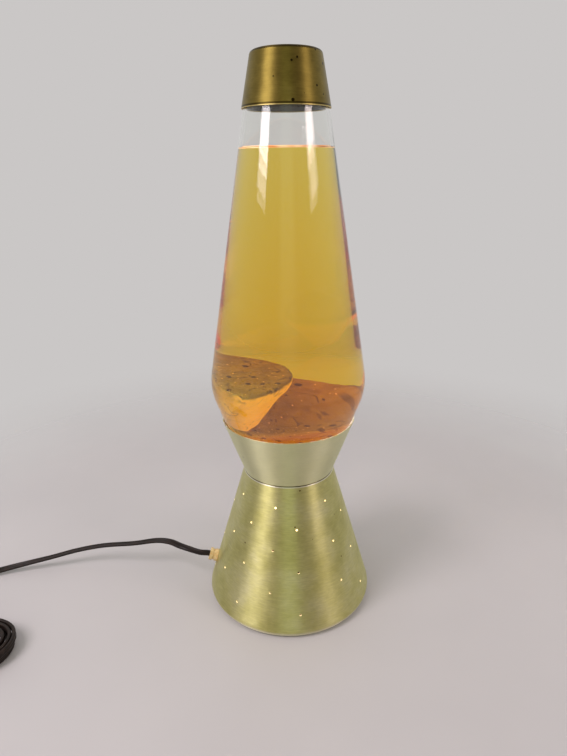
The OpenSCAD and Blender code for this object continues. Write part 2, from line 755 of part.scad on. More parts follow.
// Two wires that hold the filament's ends
module bulb_leads() {
  foot = stem_r / 2;
  rise = filament_z - stem_top;
  spread = filament_r - foot;
  lean = atan(spread / rise);
  lift = wire_r * sin(lean);
  length = norm([rise, spread]) - wire_r - snug - lift * cos(lean);
  color("silver") for (side = [-1, 1])
    translate([side * foot, 0, stem_top + lift]) rotate([0, side * lean, 0])
      cylinder(r = wire_r, h = length, $fn = 24);
}

// Filament, a half ring between the tips of those wires
module bulb_filament() {
  color("#e0c080") translate([0, 0, filament_z])
    rotate_extrude(angle = 180) translate([filament_r, 0]) circle(r = wire_r, $fn = 24);
}

// Glass bottle with its punt and shoulder, up to the foot of its neck
module bottle() {
  wall = [for (k = [len(bottle_outer) - 1 : -1 : 0]) bottle_outer[k]];
  inner = concat(
    [[0, floor_z + punt_h], [punt_r, floor_z], [inside_r(floor_z), floor_z]],
    [for (p = concat(shoulder_pts, neck_pts)) [p[0] - glass_t, p[1]]]
  );
  color("khaki", 0.3) rotate_extrude() polygon(concat(
    inner, wall, [[punt_r, bottle_z], [0, bottle_z + punt_h]]
  ));
}

// Straight neck of the bottle, one with its glass
module bottle_neck() {
  low = neck_foot + neck_rise;
  color("khaki", 0.3) translate([0, 0, low]) ring(neck_r, neck_r - glass_t, neck_top - low);
}

// Space that the wax lump takes, below its sloping top
module pool_space(gap) {
  translate([0, 0, pool_z + gap]) rotate([pool_slope, pool_lean, 0])
    translate([0, 0, -cone_h]) cylinder(r = bottle_d, h = cone_h);
}

// Yellow liquid above the wax, with room for the loose lobe
module liquid() {
  color("gold", 0.4) difference() {
    rotate_extrude() polygon(inside(snug, liquid_z));
    pool_space(snug);
    lobe_lump(running);
  }
}

// Main lump of wax on the bottle's floor, round the coil
module wax_pool() {
  color("darkorange") difference() {
    intersection() {
      rotate_extrude() polygon(inside(snug, liquid_z));
      pool_space(0);
    }
    lobe_lump(running);
    translate([0, 0, floor_z]) ring(
      coil_r + coil_wire_d, coil_r - coil_wire_d, coil_h + 3 * snug
    );
  }
}

// Wire coil on the bottle's floor
module heat_coil() {
  steps = 24;
  run = [for (k = [0 : steps * coil_turns]) [
    coil_r * cos(360 * k / steps), coil_r * sin(360 * k / steps),
    floor_z + coil_wire_d / 2 + snug + coil_pitch * k / steps
  ]];
  echo(least_gap_in_coil_mm = coil_gap);
  color("silver") sweep(run, round_outline(coil_wire_d, 6), [for (p = run) 0]);
}

// Loose lobe of wax: a flat-topped lump that narrows downward and leans on the left of the glass
module lobe_lump(gap) {
  brim = [lobe_r + gap, gap];
  lip = [lobe_r - lobe_draft + gap, -lobe_lip - gap];
  foot = [lobe_foot_r + gap, -lobe_t - gap];
  translate(lobe_at) rotate(lobe_tilt) rotate_extrude() polygon(concat(
    [[0, gap]], round_corner([0, gap], brim, lip, lobe_round, 4), [lip, foot, [0, -lobe_t - gap]]
  ));
}
module wax_lobe() {
  color("orange") intersection() {
    rotate_extrude() polygon(inside(loose, liquid_z));
    lobe_lump(0);
  }
}

// Pressed closure on the neck, and its sealing disc
module closure() {
  top = lamp_h - sheet_t;
  wall_r = neck_r + snug;
  color("#202020") translate([0, 0, top - closure_h]) difference() {
    cylinder(r = wall_r + closure_t, h = closure_h);
    translate([0, 0, -cut_past]) cylinder(r = wall_r, h = closure_h - closure_t + cut_past);
  }
}
module closure_liner() {
  color("white") translate([0, 0, neck_top]) cylinder(r = neck_r, h = liner_t);
}

// Spun cap that drops over the closure and hides it
module cap() {
  low = [cap_d / 2, cap_z];
  high = [cap_top_d / 2, lamp_h];
  roof = lamp_h - sheet_t;
  roof_r = cap_top_d / 2 - sheet_t + cap_lean * sheet_t;
  color("#8a7434") rotate_extrude() polygon(concat(
    [low], round_corner(low, high, [0, lamp_h], cap_round, 6),
    [[0, lamp_h], [0, roof]],
    round_corner([0, roof], [roof_r, roof], [cap_d / 2 - sheet_t, cap_z], cap_round - sheet_t, 6),
    [[cap_d / 2 - sheet_t, cap_z]]
  ));
}

base_cone();
cup();
waist_eyelet();
bottom_plate();
socket_body();
socket_shell();
socket_contact();
socket_screws();
socket_nuts();
terminal_plates();
terminal_screws();
lead_a();
lead_b();
relief_body();
relief_wedge();
cord();
cord_hank();
cord_tie();
plug_body();
plug_blades();
bulb_glass();
bulb_cap();
bulb_insulator();
bulb_tip();
bulb_stem();
bulb_leads();
bulb_filament();
bottle();
bottle_neck();
liquid();
wax_pool();
heat_coil();
wax_lobe();
closure();
closure_liner();
cap();
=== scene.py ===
# Liquid motion lamp: spun metal foot and cup, tapered bottle of yellow liquid and orange wax, spun cap.
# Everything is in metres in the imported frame: +Z up, the table at zero, the lamp's front toward -Y.
import math
import bpy
from mathutils import Matrix, Vector


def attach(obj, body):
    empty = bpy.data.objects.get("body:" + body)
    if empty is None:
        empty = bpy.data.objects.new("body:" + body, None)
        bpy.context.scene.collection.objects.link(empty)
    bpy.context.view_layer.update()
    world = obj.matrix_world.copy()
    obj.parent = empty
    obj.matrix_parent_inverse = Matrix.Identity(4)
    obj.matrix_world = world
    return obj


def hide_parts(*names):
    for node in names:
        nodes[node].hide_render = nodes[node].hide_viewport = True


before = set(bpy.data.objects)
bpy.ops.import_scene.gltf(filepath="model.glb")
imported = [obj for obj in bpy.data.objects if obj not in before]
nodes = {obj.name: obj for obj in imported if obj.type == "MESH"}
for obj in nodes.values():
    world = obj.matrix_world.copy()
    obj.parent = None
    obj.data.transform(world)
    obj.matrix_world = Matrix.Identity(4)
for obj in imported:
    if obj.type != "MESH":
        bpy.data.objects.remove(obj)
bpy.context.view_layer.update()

# Camera
# It was held not quite half a metre in front of the lamp, level with the upper bottle, and looked down
# on the foot. The picture is 567 by 756 pixels, and the focal length is counted in those.
picture_h = 756
focal_length = 568
sensor_h = 36
camera_place = (0, -0.4298, 0.3593)
camera_pan = 0.49
camera_tilt = 69.65
camera_roll = -0.54
lens_data = bpy.data.cameras.new("camera")
lens_data.sensor_fit = "VERTICAL"
lens_data.sensor_height = sensor_h
lens_data.lens = sensor_h * focal_length / picture_h
camera = bpy.data.objects.new("camera", lens_data)
bpy.context.scene.collection.objects.link(camera)
camera.matrix_world = (
    Matrix.Translation(camera_place)
    @ Matrix.Rotation(math.radians(camera_pan), 4, "Z")
    @ Matrix.Rotation(math.radians(camera_tilt), 4, "X")
    @ Matrix.Rotation(math.radians(camera_roll), 4, "Z")
)
bpy.context.scene.camera = camera
bpy.context.scene.view_settings.view_transform = "Standard"

# Flat twin cord
# Two stranded wires side by side in one brown PVC jacket, with a groove between them. It leaves the foot
# through a cream bushing, and what the table doesn't need is folded into a hank under a tie.
cord_w = 0.0056
cord_t = 0.0028
inner_end = Vector((-0.057337, 0, 0.025742))
bushing_end = Vector((-0.072206, 0, 0.030117))
low_layer = 0.0037
high_layer = 0.0098
hank_centre = Vector((-0.281, -0.068, 0))
hank_turn = math.radians(-23)
hank_half_l = 0.056
hank_half_w = 0.032
hank_pinch = 0.75
turn_gap = 0.0034
tail_l = 0.042
# The way round the hank in degrees: inward in the low layer, up, and outward again in the high layer
hank_first = 180
hank_climb = 900
hank_back = 1080
hank_last = 1935
hank_step = 5
run_steps = 5


def hank_heading(a):
    s, c = math.sin(math.radians(a)), math.cos(math.radians(a))
    return Vector((-hank_half_l * s, hank_half_w * c * (1 - 3 * hank_pinch * s * s), 0)).normalized()


def hank_point(a):
    s, c = math.sin(math.radians(a)), math.cos(math.radians(a))
    off = max(hank_climb - a, a - hank_back, 0)
    loops = off / 180 if off < 180 else 1 + (off - 180) / 360
    rise = min(max((a - hank_climb) / 180, 0), 1)
    way = hank_heading(a)
    return Vector((
        hank_half_l * c + way.y * turn_gap * loops,
        hank_half_w * s * (1 - hank_pinch * s * s) - way.x * turn_gap * loops,
        low_layer + (high_layer - low_layer) * rise,
    ))


def on_table(p):
    return hank_centre + Matrix.Rotation(hank_turn, 3, "Z") @ p


def smooth_run(stops, steps):
    run = []
    for i in range(len(stops) - 1):
        a, b = stops[max(i - 1, 0)], stops[i]
        c, d = stops[i + 1], stops[min(i + 2, len(stops) - 1)]
        for k in range(steps):
            t = k / steps
            run.append(0.5 * (2 * b + (c - a) * t + (2 * a - 5 * b + 4 * c - d) * t ** 2
                              + (3 * b - a - 3 * c + d) * t ** 3))
    return run + [stops[-1]]


hank_door = on_table(hank_point(hank_first))
door_way = on_table(Vector((0, 0, 0))) - on_table(Vector((0, 1, 0)))
# The stops of the free stretch, each with the roll of the flat cord there in degrees
free_stops = [
    (bushing_end, 90),
    (bushing_end + Vector((-0.009, 0.000, 0.001)), 90),
    (bushing_end + Vector((-0.018, 0.004, 0.001)), 80),
    (bushing_end + Vector((-0.028, 0.009, 0.001)), 60),
    (bushing_end + Vector((-0.040, 0.017, 0.000)), 30),
    (bushing_end + Vector((-0.054, 0.021, -0.0015)), 10),
    (Vector((-0.148, 0.021, 0.0255)), 0), (Vector((-0.178, 0.024, 0.021)), 0),
    (Vector((-0.203, 0.023, 0.0165)), 0), (Vector((-0.226, 0.019, 0.012)), 0),
    (Vector((-0.249, 0.015, 0.008)), 10), (Vector((-0.272, 0.009, 0.005)), 30),
    (Vector((-0.293, -0.001, low_layer)), 60), (Vector((-0.313, -0.015, low_layer)), 90),
    (Vector((-0.328, -0.030, low_layer)), 90),
    (hank_door - door_way * 1.5 * cord_w, 90), (hank_door, 90),
]
tail_from = hank_point(hank_last)
tail_way = hank_heading(hank_last)
free_run = smooth_run([inner_end] + [p for p, r in free_stops], run_steps)[run_steps:]
free_rolls = smooth_run([float(r) for p, r in free_stops], run_steps)
hank_run = [on_table(hank_point(a)) for a in range(hank_first + hank_step, hank_last + 1, hank_step)]
tail_run = [on_table(tail_from + tail_way * tail_l * k / 4) for k in range(1, 5)]
cord_run = free_run + hank_run + tail_run
cord_rolls = free_rolls + [90.0] * len(hank_run + tail_run)


def lay_cord(name, run, rolls):
    core = cord_w / 4
    # Each wire's half of the outline is an arc of 300 degrees, which leaves the groove between the two
    lobe = [math.radians(-150 + 37.5 * k) for k in range(9)]
    outline = [(core + core * math.cos(a), cord_t / 2 * math.sin(a)) for a in lobe]
    outline += [(-x, -y) for x, y in outline]
    verts, faces, n = [], [], len(outline)
    for i, p in enumerate(run):
        t = (run[min(i + 1, len(run) - 1)] - run[max(i - 1, 0)]).normalized()
        side = t.cross(Vector((0, 0, 1))).normalized()
        up = side.cross(t)
        c, s = math.cos(math.radians(rolls[i])), math.sin(math.radians(rolls[i]))
        verts += [p + side * (x * c - y * s) + up * (x * s + y * c) for x, y in outline]
        if i:
            faces += [((i - 1) * n + k, (i - 1) * n + (k + 1) % n, i * n + (k + 1) % n, i * n + k)
                      for k in range(n)]
    faces += [tuple(range(n)), tuple(len(verts) - 1 - k for k in range(n))]
    mesh = bpy.data.meshes.new(name)
    mesh.from_pydata(verts, [], faces)
    piece = bpy.data.objects.new(name, mesh)
    bpy.context.scene.collection.objects.link(piece)
    bpy.ops.object.select_all(action="DESELECT")
    piece.select_set(True)
    bpy.context.view_layer.objects.active = piece
    bpy.ops.object.mode_set(mode="EDIT")
    bpy.ops.mesh.select_all(action="SELECT")
    bpy.ops.mesh.normals_make_consistent(inside=False)
    bpy.ops.object.mode_set(mode="OBJECT")
    bpy.ops.object.shade_smooth_by_angle(angle=math.radians(50))
    return piece


def linear(code):
    parts = [int(code[k:k + 2], 16) / 255 for k in (1, 3, 5)]
    return [c / 12.92 if c <= 0.04045 else ((c + 0.055) / 1.055) ** 2.4 for c in parts] + [1.0]


# Sockets that share a name go by number. Map Range has its From limits in 1 and 2 and its To limits in 3
# and 4, and a colour Mix has its factor in 0 and its two colours in 6 and 7.
def add_node(tree, kind, settings=None, inputs=None, stops=None):
    made = tree.nodes.new(kind)
    for key, value in (settings or {}).items():
        setattr(made, key, value)
    for key, value in (inputs or {}).items():
        if isinstance(value, bpy.types.NodeSocket):
            tree.links.new(value, made.inputs[key])
        else:
            made.inputs[key].default_value = value
    for k, (place, code) in enumerate(stops or []):
        ramp = made.color_ramp.elements
        stop = ramp[k] if k < len(ramp) else ramp.new(place)
        stop.position = place
        stop.color = linear(code)
    return made


def new_material(name):
    material = bpy.data.materials.new(name)
    material.use_nodes = True
    tree = material.node_tree
    place = add_node(tree, "ShaderNodeTexCoord").outputs["Object"]
    return material, tree, tree.nodes["Principled BSDF"], place


def mottled(name, scale, detail, stops):
    material, tree, shader, place = new_material(name)
    mottle = add_node(tree, "ShaderNodeTexNoise", inputs={"Vector": place, "Scale": scale, "Detail": detail})
    tone = add_node(tree, "ShaderNodeValToRGB", inputs={"Fac": mottle.outputs["Fac"]}, stops=stops)
    tree.links.new(tone.outputs["Color"], shader.inputs["Base Color"])
    return material, tree, shader, mottle.outputs["Fac"]


def dress(piece, material):
    piece.data.materials.clear()
    piece.data.materials.append(material)


# Brown PVC, extruded: a dull satin skin with a little dust, and faint drag marks some 4 mm apart
cord_pvc, tree, shader, drag = mottled("brown_pvc_extruded", scale=250.0, detail=3.0,
                                       stops=[(0.3, "#150E0B"), (0.75, "#291C16")])
lift = add_node(tree, "ShaderNodeBump", inputs={"Height": drag, "Strength": 0.15, "Distance": 0.0004})
gloss = add_node(tree, "ShaderNodeMapRange", inputs={"Value": drag, 3: 0.36, 4: 0.55})
tree.links.new(gloss.outputs["Result"], shader.inputs["Roughness"])
tree.links.new(lift.outputs["Normal"], shader.inputs["Normal"])
shader.inputs["Specular IOR Level"].default_value = 0.25

flex = lay_cord("flex", cord_run, cord_rolls)
dress(flex, cord_pvc)
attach(flex, "base")
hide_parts("cord", "cord_hank")
flex_root = lay_cord("flex_in_bushing", [inner_end, bushing_end], [90.0, 90.0])
dress(flex_root, cord_pvc)
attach(flex_root, "base")

# Plug
# A two-pin plug moulded on the cord's end in the same brown PVC. Its sides draw in toward the cord, and
# each flank has a sunk grip panel. The two brass-coloured pins are bare sheet metal.
plug_w = 0.025
plug_h = 2 * high_layer
cord_end_l = 0.002
flank_l = 0.018
front_l = 0.010
drawn_in = 0.6
panel_rim = 0.0022
panel_sunk = 0.0009
pad_rim = 0.0009
pad_raised = 0.0006
front_rim = 0.0016
plug_edge_r = 0.0012


def begin_with_cube(name, low, high):
    bpy.ops.object.select_all(action="DESELECT")
    middle = [(a + b) / 2 for a, b in zip(low, high)]
    bpy.ops.mesh.primitive_cube_add(size=1, location=middle)
    piece = bpy.context.object
    piece.name = piece.data.name = name
    piece.scale = [b - a for a, b in zip(low, high)]
    bpy.ops.object.transform_apply(location=True, rotation=True, scale=True)
    return piece


def pick_faces(piece, test):
    bpy.ops.object.mode_set(mode="EDIT")
    bpy.ops.mesh.select_mode(type="FACE")
    bpy.ops.mesh.select_all(action="DESELECT")
    bpy.ops.object.mode_set(mode="OBJECT")
    for face in piece.data.polygons:
        face.select = test(face)
    bpy.ops.object.mode_set(mode="EDIT")


half_w = plug_w * drawn_in / 2
half_h = plug_h * drawn_in / 2
flank_end = cord_end_l + flank_l
plug = begin_with_cube("plug", (0, -half_w, -half_h), (cord_end_l, half_w, half_h))
pick_faces(plug, lambda face: face.normal.x > 0.9)
bpy.ops.mesh.extrude_region_move(TRANSFORM_OT_translate={"value": (flank_l, 0, 0)})
bpy.ops.transform.resize(value=(1, 1 / drawn_in, 1 / drawn_in), center_override=(flank_end, 0, 0))
bpy.ops.mesh.extrude_region_move(TRANSFORM_OT_translate={"value": (front_l, 0, 0)})
pick_faces(plug, lambda face: abs(face.normal.y) > 0.7 and cord_end_l < face.center.x < flank_end)
bpy.ops.mesh.inset(use_individual=True, thickness=panel_rim, depth=-panel_sunk)
bpy.ops.mesh.inset(use_individual=True, thickness=pad_rim, depth=pad_raised)
pick_faces(plug, lambda face: face.normal.x > 0.9)
bpy.ops.mesh.inset(use_individual=True, thickness=front_rim, depth=0.0)
bpy.ops.object.mode_set(mode="OBJECT")
soften = plug.modifiers.new("soft_edges", "BEVEL")
soften.width = plug_edge_r
soften.segments = 3
soften.limit_method = "ANGLE"
soften.angle_limit = math.radians(25)
bpy.ops.object.modifier_apply(modifier=soften.name)
plug.matrix_world = (
    Matrix.Translation(on_table(tail_from + tail_way * tail_l))
    @ Matrix.Rotation(hank_turn + math.atan2(tail_way.y, tail_way.x), 4, "Z")
)
bpy.ops.object.transform_apply(location=True, rotation=True, scale=True)
bpy.ops.object.shade_smooth_by_angle(angle=math.radians(40))

# The same PVC, moulded: slightly glossier, with the mould's fine spark texture of about 0.5 mm
plug_pvc, tree, shader, spark = mottled("brown_pvc_moulded", scale=2000.0, detail=2.0,
                                        stops=[(0.35, "#231915"), (0.7, "#32241E")])
lift = add_node(tree, "ShaderNodeBump", inputs={"Height": spark, "Strength": 0.2, "Distance": 0.0002})
tree.links.new(lift.outputs["Normal"], shader.inputs["Normal"])
shader.inputs["Roughness"].default_value = 0.42
dress(plug, plug_pvc)
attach(plug, "base")
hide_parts("plug_body")

# Rolled brass sheet: warm yellow, drawn lines along the rolling direction about 1 mm apart
brass, tree, shader, place = new_material("rolled_brass")
rolled = add_node(tree, "ShaderNodeMapping", inputs={"Vector": place, "Scale": (900.0, 900.0, 60.0)})
lines = add_node(tree, "ShaderNodeTexNoise",
                 inputs={"Vector": rolled.outputs["Vector"], "Scale": 1.0, "Detail": 3.0})
tone = add_node(tree, "ShaderNodeValToRGB", inputs={"Fac": lines.outputs["Fac"]},
                stops=[(0.3, "#9C7A36"), (0.7, "#D2B060")])
gloss = add_node(tree, "ShaderNodeMapRange", inputs={"Value": lines.outputs["Fac"], 3: 0.22, 4: 0.42})
tree.links.new(tone.outputs["Color"], shader.inputs["Base Color"])
tree.links.new(gloss.outputs["Result"], shader.inputs["Roughness"])
shader.inputs["Metallic"].default_value = 1.0
for name in ("plug_blades", "socket_shell", "socket_contact", "terminal_plates", "terminal_screws"):
    dress(nodes[name], brass)

# Tie
# A flat band of black nylon closed round the waist of the hank, so that the folds keep together.
# Moulded nylon: a matt black skin with faint marks of the mould some 1.5 mm apart
tie_nylon, tree, shader, mould = mottled("black_nylon_tie", scale=700.0, detail=2.0,
                                         stops=[(0.35, "#151515"), (0.7, "#2A2A2A")])
lift = add_node(tree, "ShaderNodeBump", inputs={"Height": mould, "Strength": 0.3, "Distance": 0.0003})
tree.links.new(lift.outputs["Normal"], shader.inputs["Normal"])
shader.inputs["Roughness"].default_value = 0.5
dress(nodes["cord_tie"], tie_nylon)

# Cord bushing
# A snap-in strain relief of cream nylon with two collars, and a wedge that clamps the cord in its slot.
# Moulded nylon: a cream skin that light enters a little, yellowed by heat in patches of some 3 mm
bushing_nylon, tree, shader, _ = mottled("cream_nylon_moulded", scale=330.0, detail=3.0,
                                         stops=[(0.3, "#C9A56A"), (0.7, "#EBD2A0")])
shader.inputs["Roughness"].default_value = 0.4
shader.inputs["Subsurface Weight"].default_value = 0.15
shader.inputs["Subsurface Radius"].default_value = (0.002, 0.001, 0.0005)
for name in ("relief_body", "relief_wedge"):
    dress(nodes[name], bushing_nylon)

# Spun foot and cup
# Two cones of soft aluminium sheet, spun over a former, clamped back to back at the waist. Both were
# brushed on the lathe and anodised a pale champagne gold. The foot is pierced with small light holes.
waist_z = 0.1215
turned_edge_z = 0.1207
foot_inside_top = 0.119


# Anodised aluminium: a satin metal whose brush lines run round the lamp, so each lamp and window in the
# room is drawn out into an upright streak. The lines are about 0.3 mm apart in life, drawn 1 mm here.
def brush_and_dye(name, cloud_scale, dyes, line_shade, pit_scale, pit_from, pit_to, stain, glosses, streak):
    material, tree, shader, place = new_material(name)
    brushed = add_node(tree, "ShaderNodeMapping", inputs={"Vector": place, "Scale": (150.0, 150.0, 1000.0)})
    lines = add_node(tree, "ShaderNodeTexNoise", inputs={
        "Vector": brushed.outputs["Vector"], "Scale": 1.0, "Detail": 4.0, "Roughness": 0.6})
    clouds = add_node(tree, "ShaderNodeTexNoise",
                      inputs={"Vector": place, "Scale": cloud_scale, "Detail": 4.0, "Roughness": 0.6})
    dye = add_node(tree, "ShaderNodeValToRGB", inputs={"Fac": clouds.outputs["Fac"]}, stops=dyes)
    worked = add_node(tree, "ShaderNodeValToRGB", inputs={"Fac": lines.outputs["Fac"]},
                      stops=[(0.25, line_shade), (0.75, "#FFFFFF")])
    colour = add_node(tree, "ShaderNodeMix", {"data_type": "RGBA", "blend_type": "MULTIPLY"},
                      {0: 1.0, 6: dye.outputs["Color"], 7: worked.outputs["Color"]})
    pits = add_node(tree, "ShaderNodeTexVoronoi", inputs={"Vector": place, "Scale": pit_scale})
    pit_size = add_node(tree, "ShaderNodeMapRange",
                        inputs={"Value": pits.outputs["Color"], 1: pit_from, 2: 1.0, 3: 0.0, 4: pit_to})
    pitted = add_node(tree, "ShaderNodeMath", {"operation": "LESS_THAN"},
                      {0: pits.outputs["Distance"], 1: pit_size.outputs["Result"]})
    stained = add_node(tree, "ShaderNodeMix", {"data_type": "RGBA"},
                       {0: pitted.outputs["Value"], 6: colour.outputs[2], 7: linear(stain)})
    gloss = add_node(tree, "ShaderNodeMapRange",
                     inputs={"Value": lines.outputs["Fac"], 3: glosses[0], 4: glosses[1]})
    lift = add_node(tree, "ShaderNodeBump",
                    inputs={"Height": lines.outputs["Fac"], "Strength": 0.12, "Distance": 0.0002})
    round_the_axis = add_node(tree, "ShaderNodeTangent", {"direction_type": "RADIAL", "axis": "Z"})
    tree.links.new(gloss.outputs["Result"], shader.inputs["Roughness"])
    tree.links.new(lift.outputs["Normal"], shader.inputs["Normal"])
    tree.links.new(round_the_axis.outputs["Tangent"], shader.inputs["Tangent"])
    shader.inputs["Anisotropic"].default_value = streak
    shader.inputs["Anisotropic Rotation"].default_value = 0.25
    # How far up a point is, and whether its face turns away from the lamp's axis or toward it
    height = add_node(tree, "ShaderNodeSeparateXYZ", inputs={"Vector": place})
    facing = add_node(tree, "ShaderNodeNewGeometry")
    outward = add_node(tree, "ShaderNodeVectorMath", {"operation": "MULTIPLY"},
                       {0: place, 1: (1.0, 1.0, 0.0)})
    turned = add_node(tree, "ShaderNodeVectorMath", {"operation": "DOT_PRODUCT"},
                      {0: outward.outputs["Vector"], 1: facing.outputs["Normal"]})
    return material, tree, shader, stained.outputs[2], height.outputs["Z"], turned.outputs["Value"]


# Champagne dye in cloudy patches some 30 mm across, where handling and heat have dulled it. Corrosion pits
# about 1 mm across lie in cells of 9 mm, most of which are empty.
champagne, tree, shader, stained, height, turned = brush_and_dye(
    "anodised_aluminium_champagne",
    cloud_scale=34.0, dyes=[(0.3, "#C2BC74"), (0.5, "#D4CE8C"), (0.72, "#E0DAA6")], line_shade="#E4E4E4",
    pit_scale=110.0, pit_from=0.55, pit_to=0.12, stain="#6E5A2A", glosses=(0.37, 0.48), streak=0.9,
)
# The cup is paled toward a cream white by a painted reflection of the pale table in front of it
in_cup = add_node(tree, "ShaderNodeMapRange",
                  inputs={"Value": height, 1: waist_z - 0.0005, 2: waist_z + 0.0010, 3: 0.0, 4: 0.6})
cup_painted_reflection = add_node(tree, "ShaderNodeMix", {"data_type": "RGBA"},
                {0: in_cup.outputs["Result"], 6: stained, 7: linear("#E6E6C6")})
# A painted reflection of the pale table lightens the foot's rounded edge for some 5 mm, and a painted
# highlight runs along the turned edge under the waist
at_foot = add_node(tree, "ShaderNodeMapRange", {"interpolation_type": "SMOOTHSTEP"},
                   {"Value": height, 1: 0.0065, 2: 0.0035, 3: 0.0, 4: 0.75})
at_waist = add_node(tree, "ShaderNodeMath", {"operation": "COMPARE"},
                    {0: height, 1: turned_edge_z, 2: 0.0004})
at_edge = add_node(tree, "ShaderNodeMath", {"operation": "MAXIMUM"},
                   {0: at_foot.outputs["Result"], 1: at_waist.outputs["Value"]})
painted_edge_highlights = add_node(tree, "ShaderNodeMix", {"data_type": "RGBA"},
                  {0: at_edge.outputs["Value"], 6: cup_painted_reflection.outputs[2], 7: linear("#E9E4CE")})
# The joint of the two cones is darkened in a narrow band
off_joint = add_node(tree, "ShaderNodeMath", {"operation": "SUBTRACT"}, {0: height, 1: waist_z})
from_joint = add_node(tree, "ShaderNodeMath", {"operation": "ABSOLUTE"}, {0: off_joint.outputs["Value"]})
joint_band = add_node(tree, "ShaderNodeMapRange", {"interpolation_type": "SMOOTHSTEP"},
                {"Value": from_joint.outputs["Value"], 1: 0.0006, 2: 0.0002, 3: 0.0, 4: 0.9})
darkened = add_node(tree, "ShaderNodeMix", {"data_type": "RGBA"},
                 {0: joint_band.outputs["Result"], 6: painted_edge_highlights.outputs[2], 7: linear("#4A4026")})
# The inside was never dyed: there a dull white oxide covers the sheet and spreads the bulb's light
raw = add_node(tree, "ShaderNodeMath", {"operation": "LESS_THAN"}, {0: turned, 1: 0.0})
finish = add_node(tree, "ShaderNodeMix", {"data_type": "RGBA"},
                  {0: raw.outputs["Value"], 6: darkened.outputs[2], 7: linear("#E2E0DA")})
dyed = add_node(tree, "ShaderNodeMath", {"operation": "SUBTRACT"}, {0: 1.0, 1: raw.outputs["Value"]})
# Inside the foot, below the waist, the oxide is given a painted glow for the bulb's light, even all over, so
# each hole shows a warm spark
in_foot = add_node(tree, "ShaderNodeMath", {"operation": "LESS_THAN"}, {0: height, 1: foot_inside_top})
painted_bulb_glow = add_node(tree, "ShaderNodeMath", {"operation": "MULTIPLY"},
                  {0: raw.outputs["Value"], 1: in_foot.outputs["Value"]})
tree.links.new(finish.outputs[2], shader.inputs["Base Color"])
tree.links.new(dyed.outputs["Value"], shader.inputs["Metallic"])
tree.links.new(painted_bulb_glow.outputs["Value"], shader.inputs["Emission Strength"])
shader.inputs["Emission Color"].default_value = linear("#FADB92")
for name in ("base_cone", "cup"):
    dress(nodes[name], champagne)

# Waist eyelet and bottom plate
# The eyelet is a flanged ring of zinc-plated steel, rolled over the cone's and the cup's flanges. The
# plate is a pressed steel disc with vents, dropped in from below and held by the foot's hem.
# Zinc plate: a grey-blue metal with a crystal mottle a few millimetres across
zinc, tree, shader, place = new_material("zinc_plated_steel")
mottle = add_node(tree, "ShaderNodeTexVoronoi", inputs={"Vector": place, "Scale": 300.0})
tone = add_node(tree, "ShaderNodeValToRGB", inputs={"Fac": mottle.outputs["Color"]},
                stops=[(0.1, "#8F9293"), (0.9, "#B9BBB8")])
gloss = add_node(tree, "ShaderNodeMapRange", inputs={"Value": mottle.outputs["Distance"], 3: 0.32, 4: 0.5})
tree.links.new(tone.outputs["Color"], shader.inputs["Base Color"])
tree.links.new(gloss.outputs["Result"], shader.inputs["Roughness"])
shader.inputs["Metallic"].default_value = 1.0
for name in ("waist_eyelet", "bottom_plate", "socket_screws", "socket_nuts"):
    dress(nodes[name], zinc)

# Lampholder
# A screw lampholder moulded in brown phenolic resin, bolted to the plate by two lugs. The brass screw
# shell, centre contact and terminals sit in it, and the cord's two wires end on the terminals.
# Phenolic moulding: dark brown, fairly glossy, with a faint paler swirl of wood flour every 5 mm or so
phenolic, tree, shader, place = new_material("brown_phenolic_moulded")
swirl = add_node(tree, "ShaderNodeTexNoise",
                 inputs={"Vector": place, "Scale": 200.0, "Detail": 5.0, "Distortion": 1.2})
tone = add_node(tree, "ShaderNodeValToRGB", inputs={"Fac": swirl.outputs["Fac"]},
                stops=[(0.35, "#2B1710"), (0.75, "#4A2A1B")])
tree.links.new(tone.outputs["Color"], shader.inputs["Base Color"])
shader.inputs["Roughness"].default_value = 0.3
dress(nodes["socket_body"], phenolic)
for name in ("lead_a", "lead_b"):
    dress(nodes[name], cord_pvc)

# Bulb
# A frosted screw bulb of about 40 watts that warms and lights the bottle from below. Its lit glass shows
# only through the light holes in the foot and through the waist when the bottle is lifted out.
# Frosted glass, lit: an even warm white, a little deeper in colour toward the neck
frosted, tree, shader, place = new_material("frosted_glass_lit")
height = add_node(tree, "ShaderNodeSeparateXYZ", inputs={"Vector": place})
up_glass = add_node(tree, "ShaderNodeMapRange", inputs={"Value": height.outputs["Z"], 1: 0.035, 2: 0.08})
glow = add_node(tree, "ShaderNodeValToRGB", inputs={"Fac": up_glass.outputs["Result"]},
                stops=[(0.0, "#FFC98A"), (1.0, "#FFE3B8")])
tree.links.new(glow.outputs["Color"], shader.inputs["Emission Color"])
tree.links.new(glow.outputs["Color"], shader.inputs["Base Color"])
shader.inputs["Emission Strength"].default_value = 2.0
shader.inputs["Roughness"].default_value = 0.6
dress(nodes["bulb_glass"], frosted)
# Spun aluminium of the screw cap: bright, with turning marks 0.5 mm apart
cap_alu, tree, shader, place = new_material("bulb_cap_aluminium")
turned = add_node(tree, "ShaderNodeMapping", inputs={"Vector": place, "Scale": (120.0, 120.0, 2000.0)})
marks = add_node(tree, "ShaderNodeTexNoise",
                 inputs={"Vector": turned.outputs["Vector"], "Scale": 1.0, "Detail": 2.0})
tone = add_node(tree, "ShaderNodeValToRGB", inputs={"Fac": marks.outputs["Fac"]},
                stops=[(0.3, "#A9A8A4"), (0.7, "#D6D5D1")])
tree.links.new(tone.outputs["Color"], shader.inputs["Base Color"])
shader.inputs["Metallic"].default_value = 1.0
shader.inputs["Roughness"].default_value = 0.3
for name in ("bulb_cap", "bulb_leads", "bulb_tip"):
    dress(nodes[name], cap_alu)
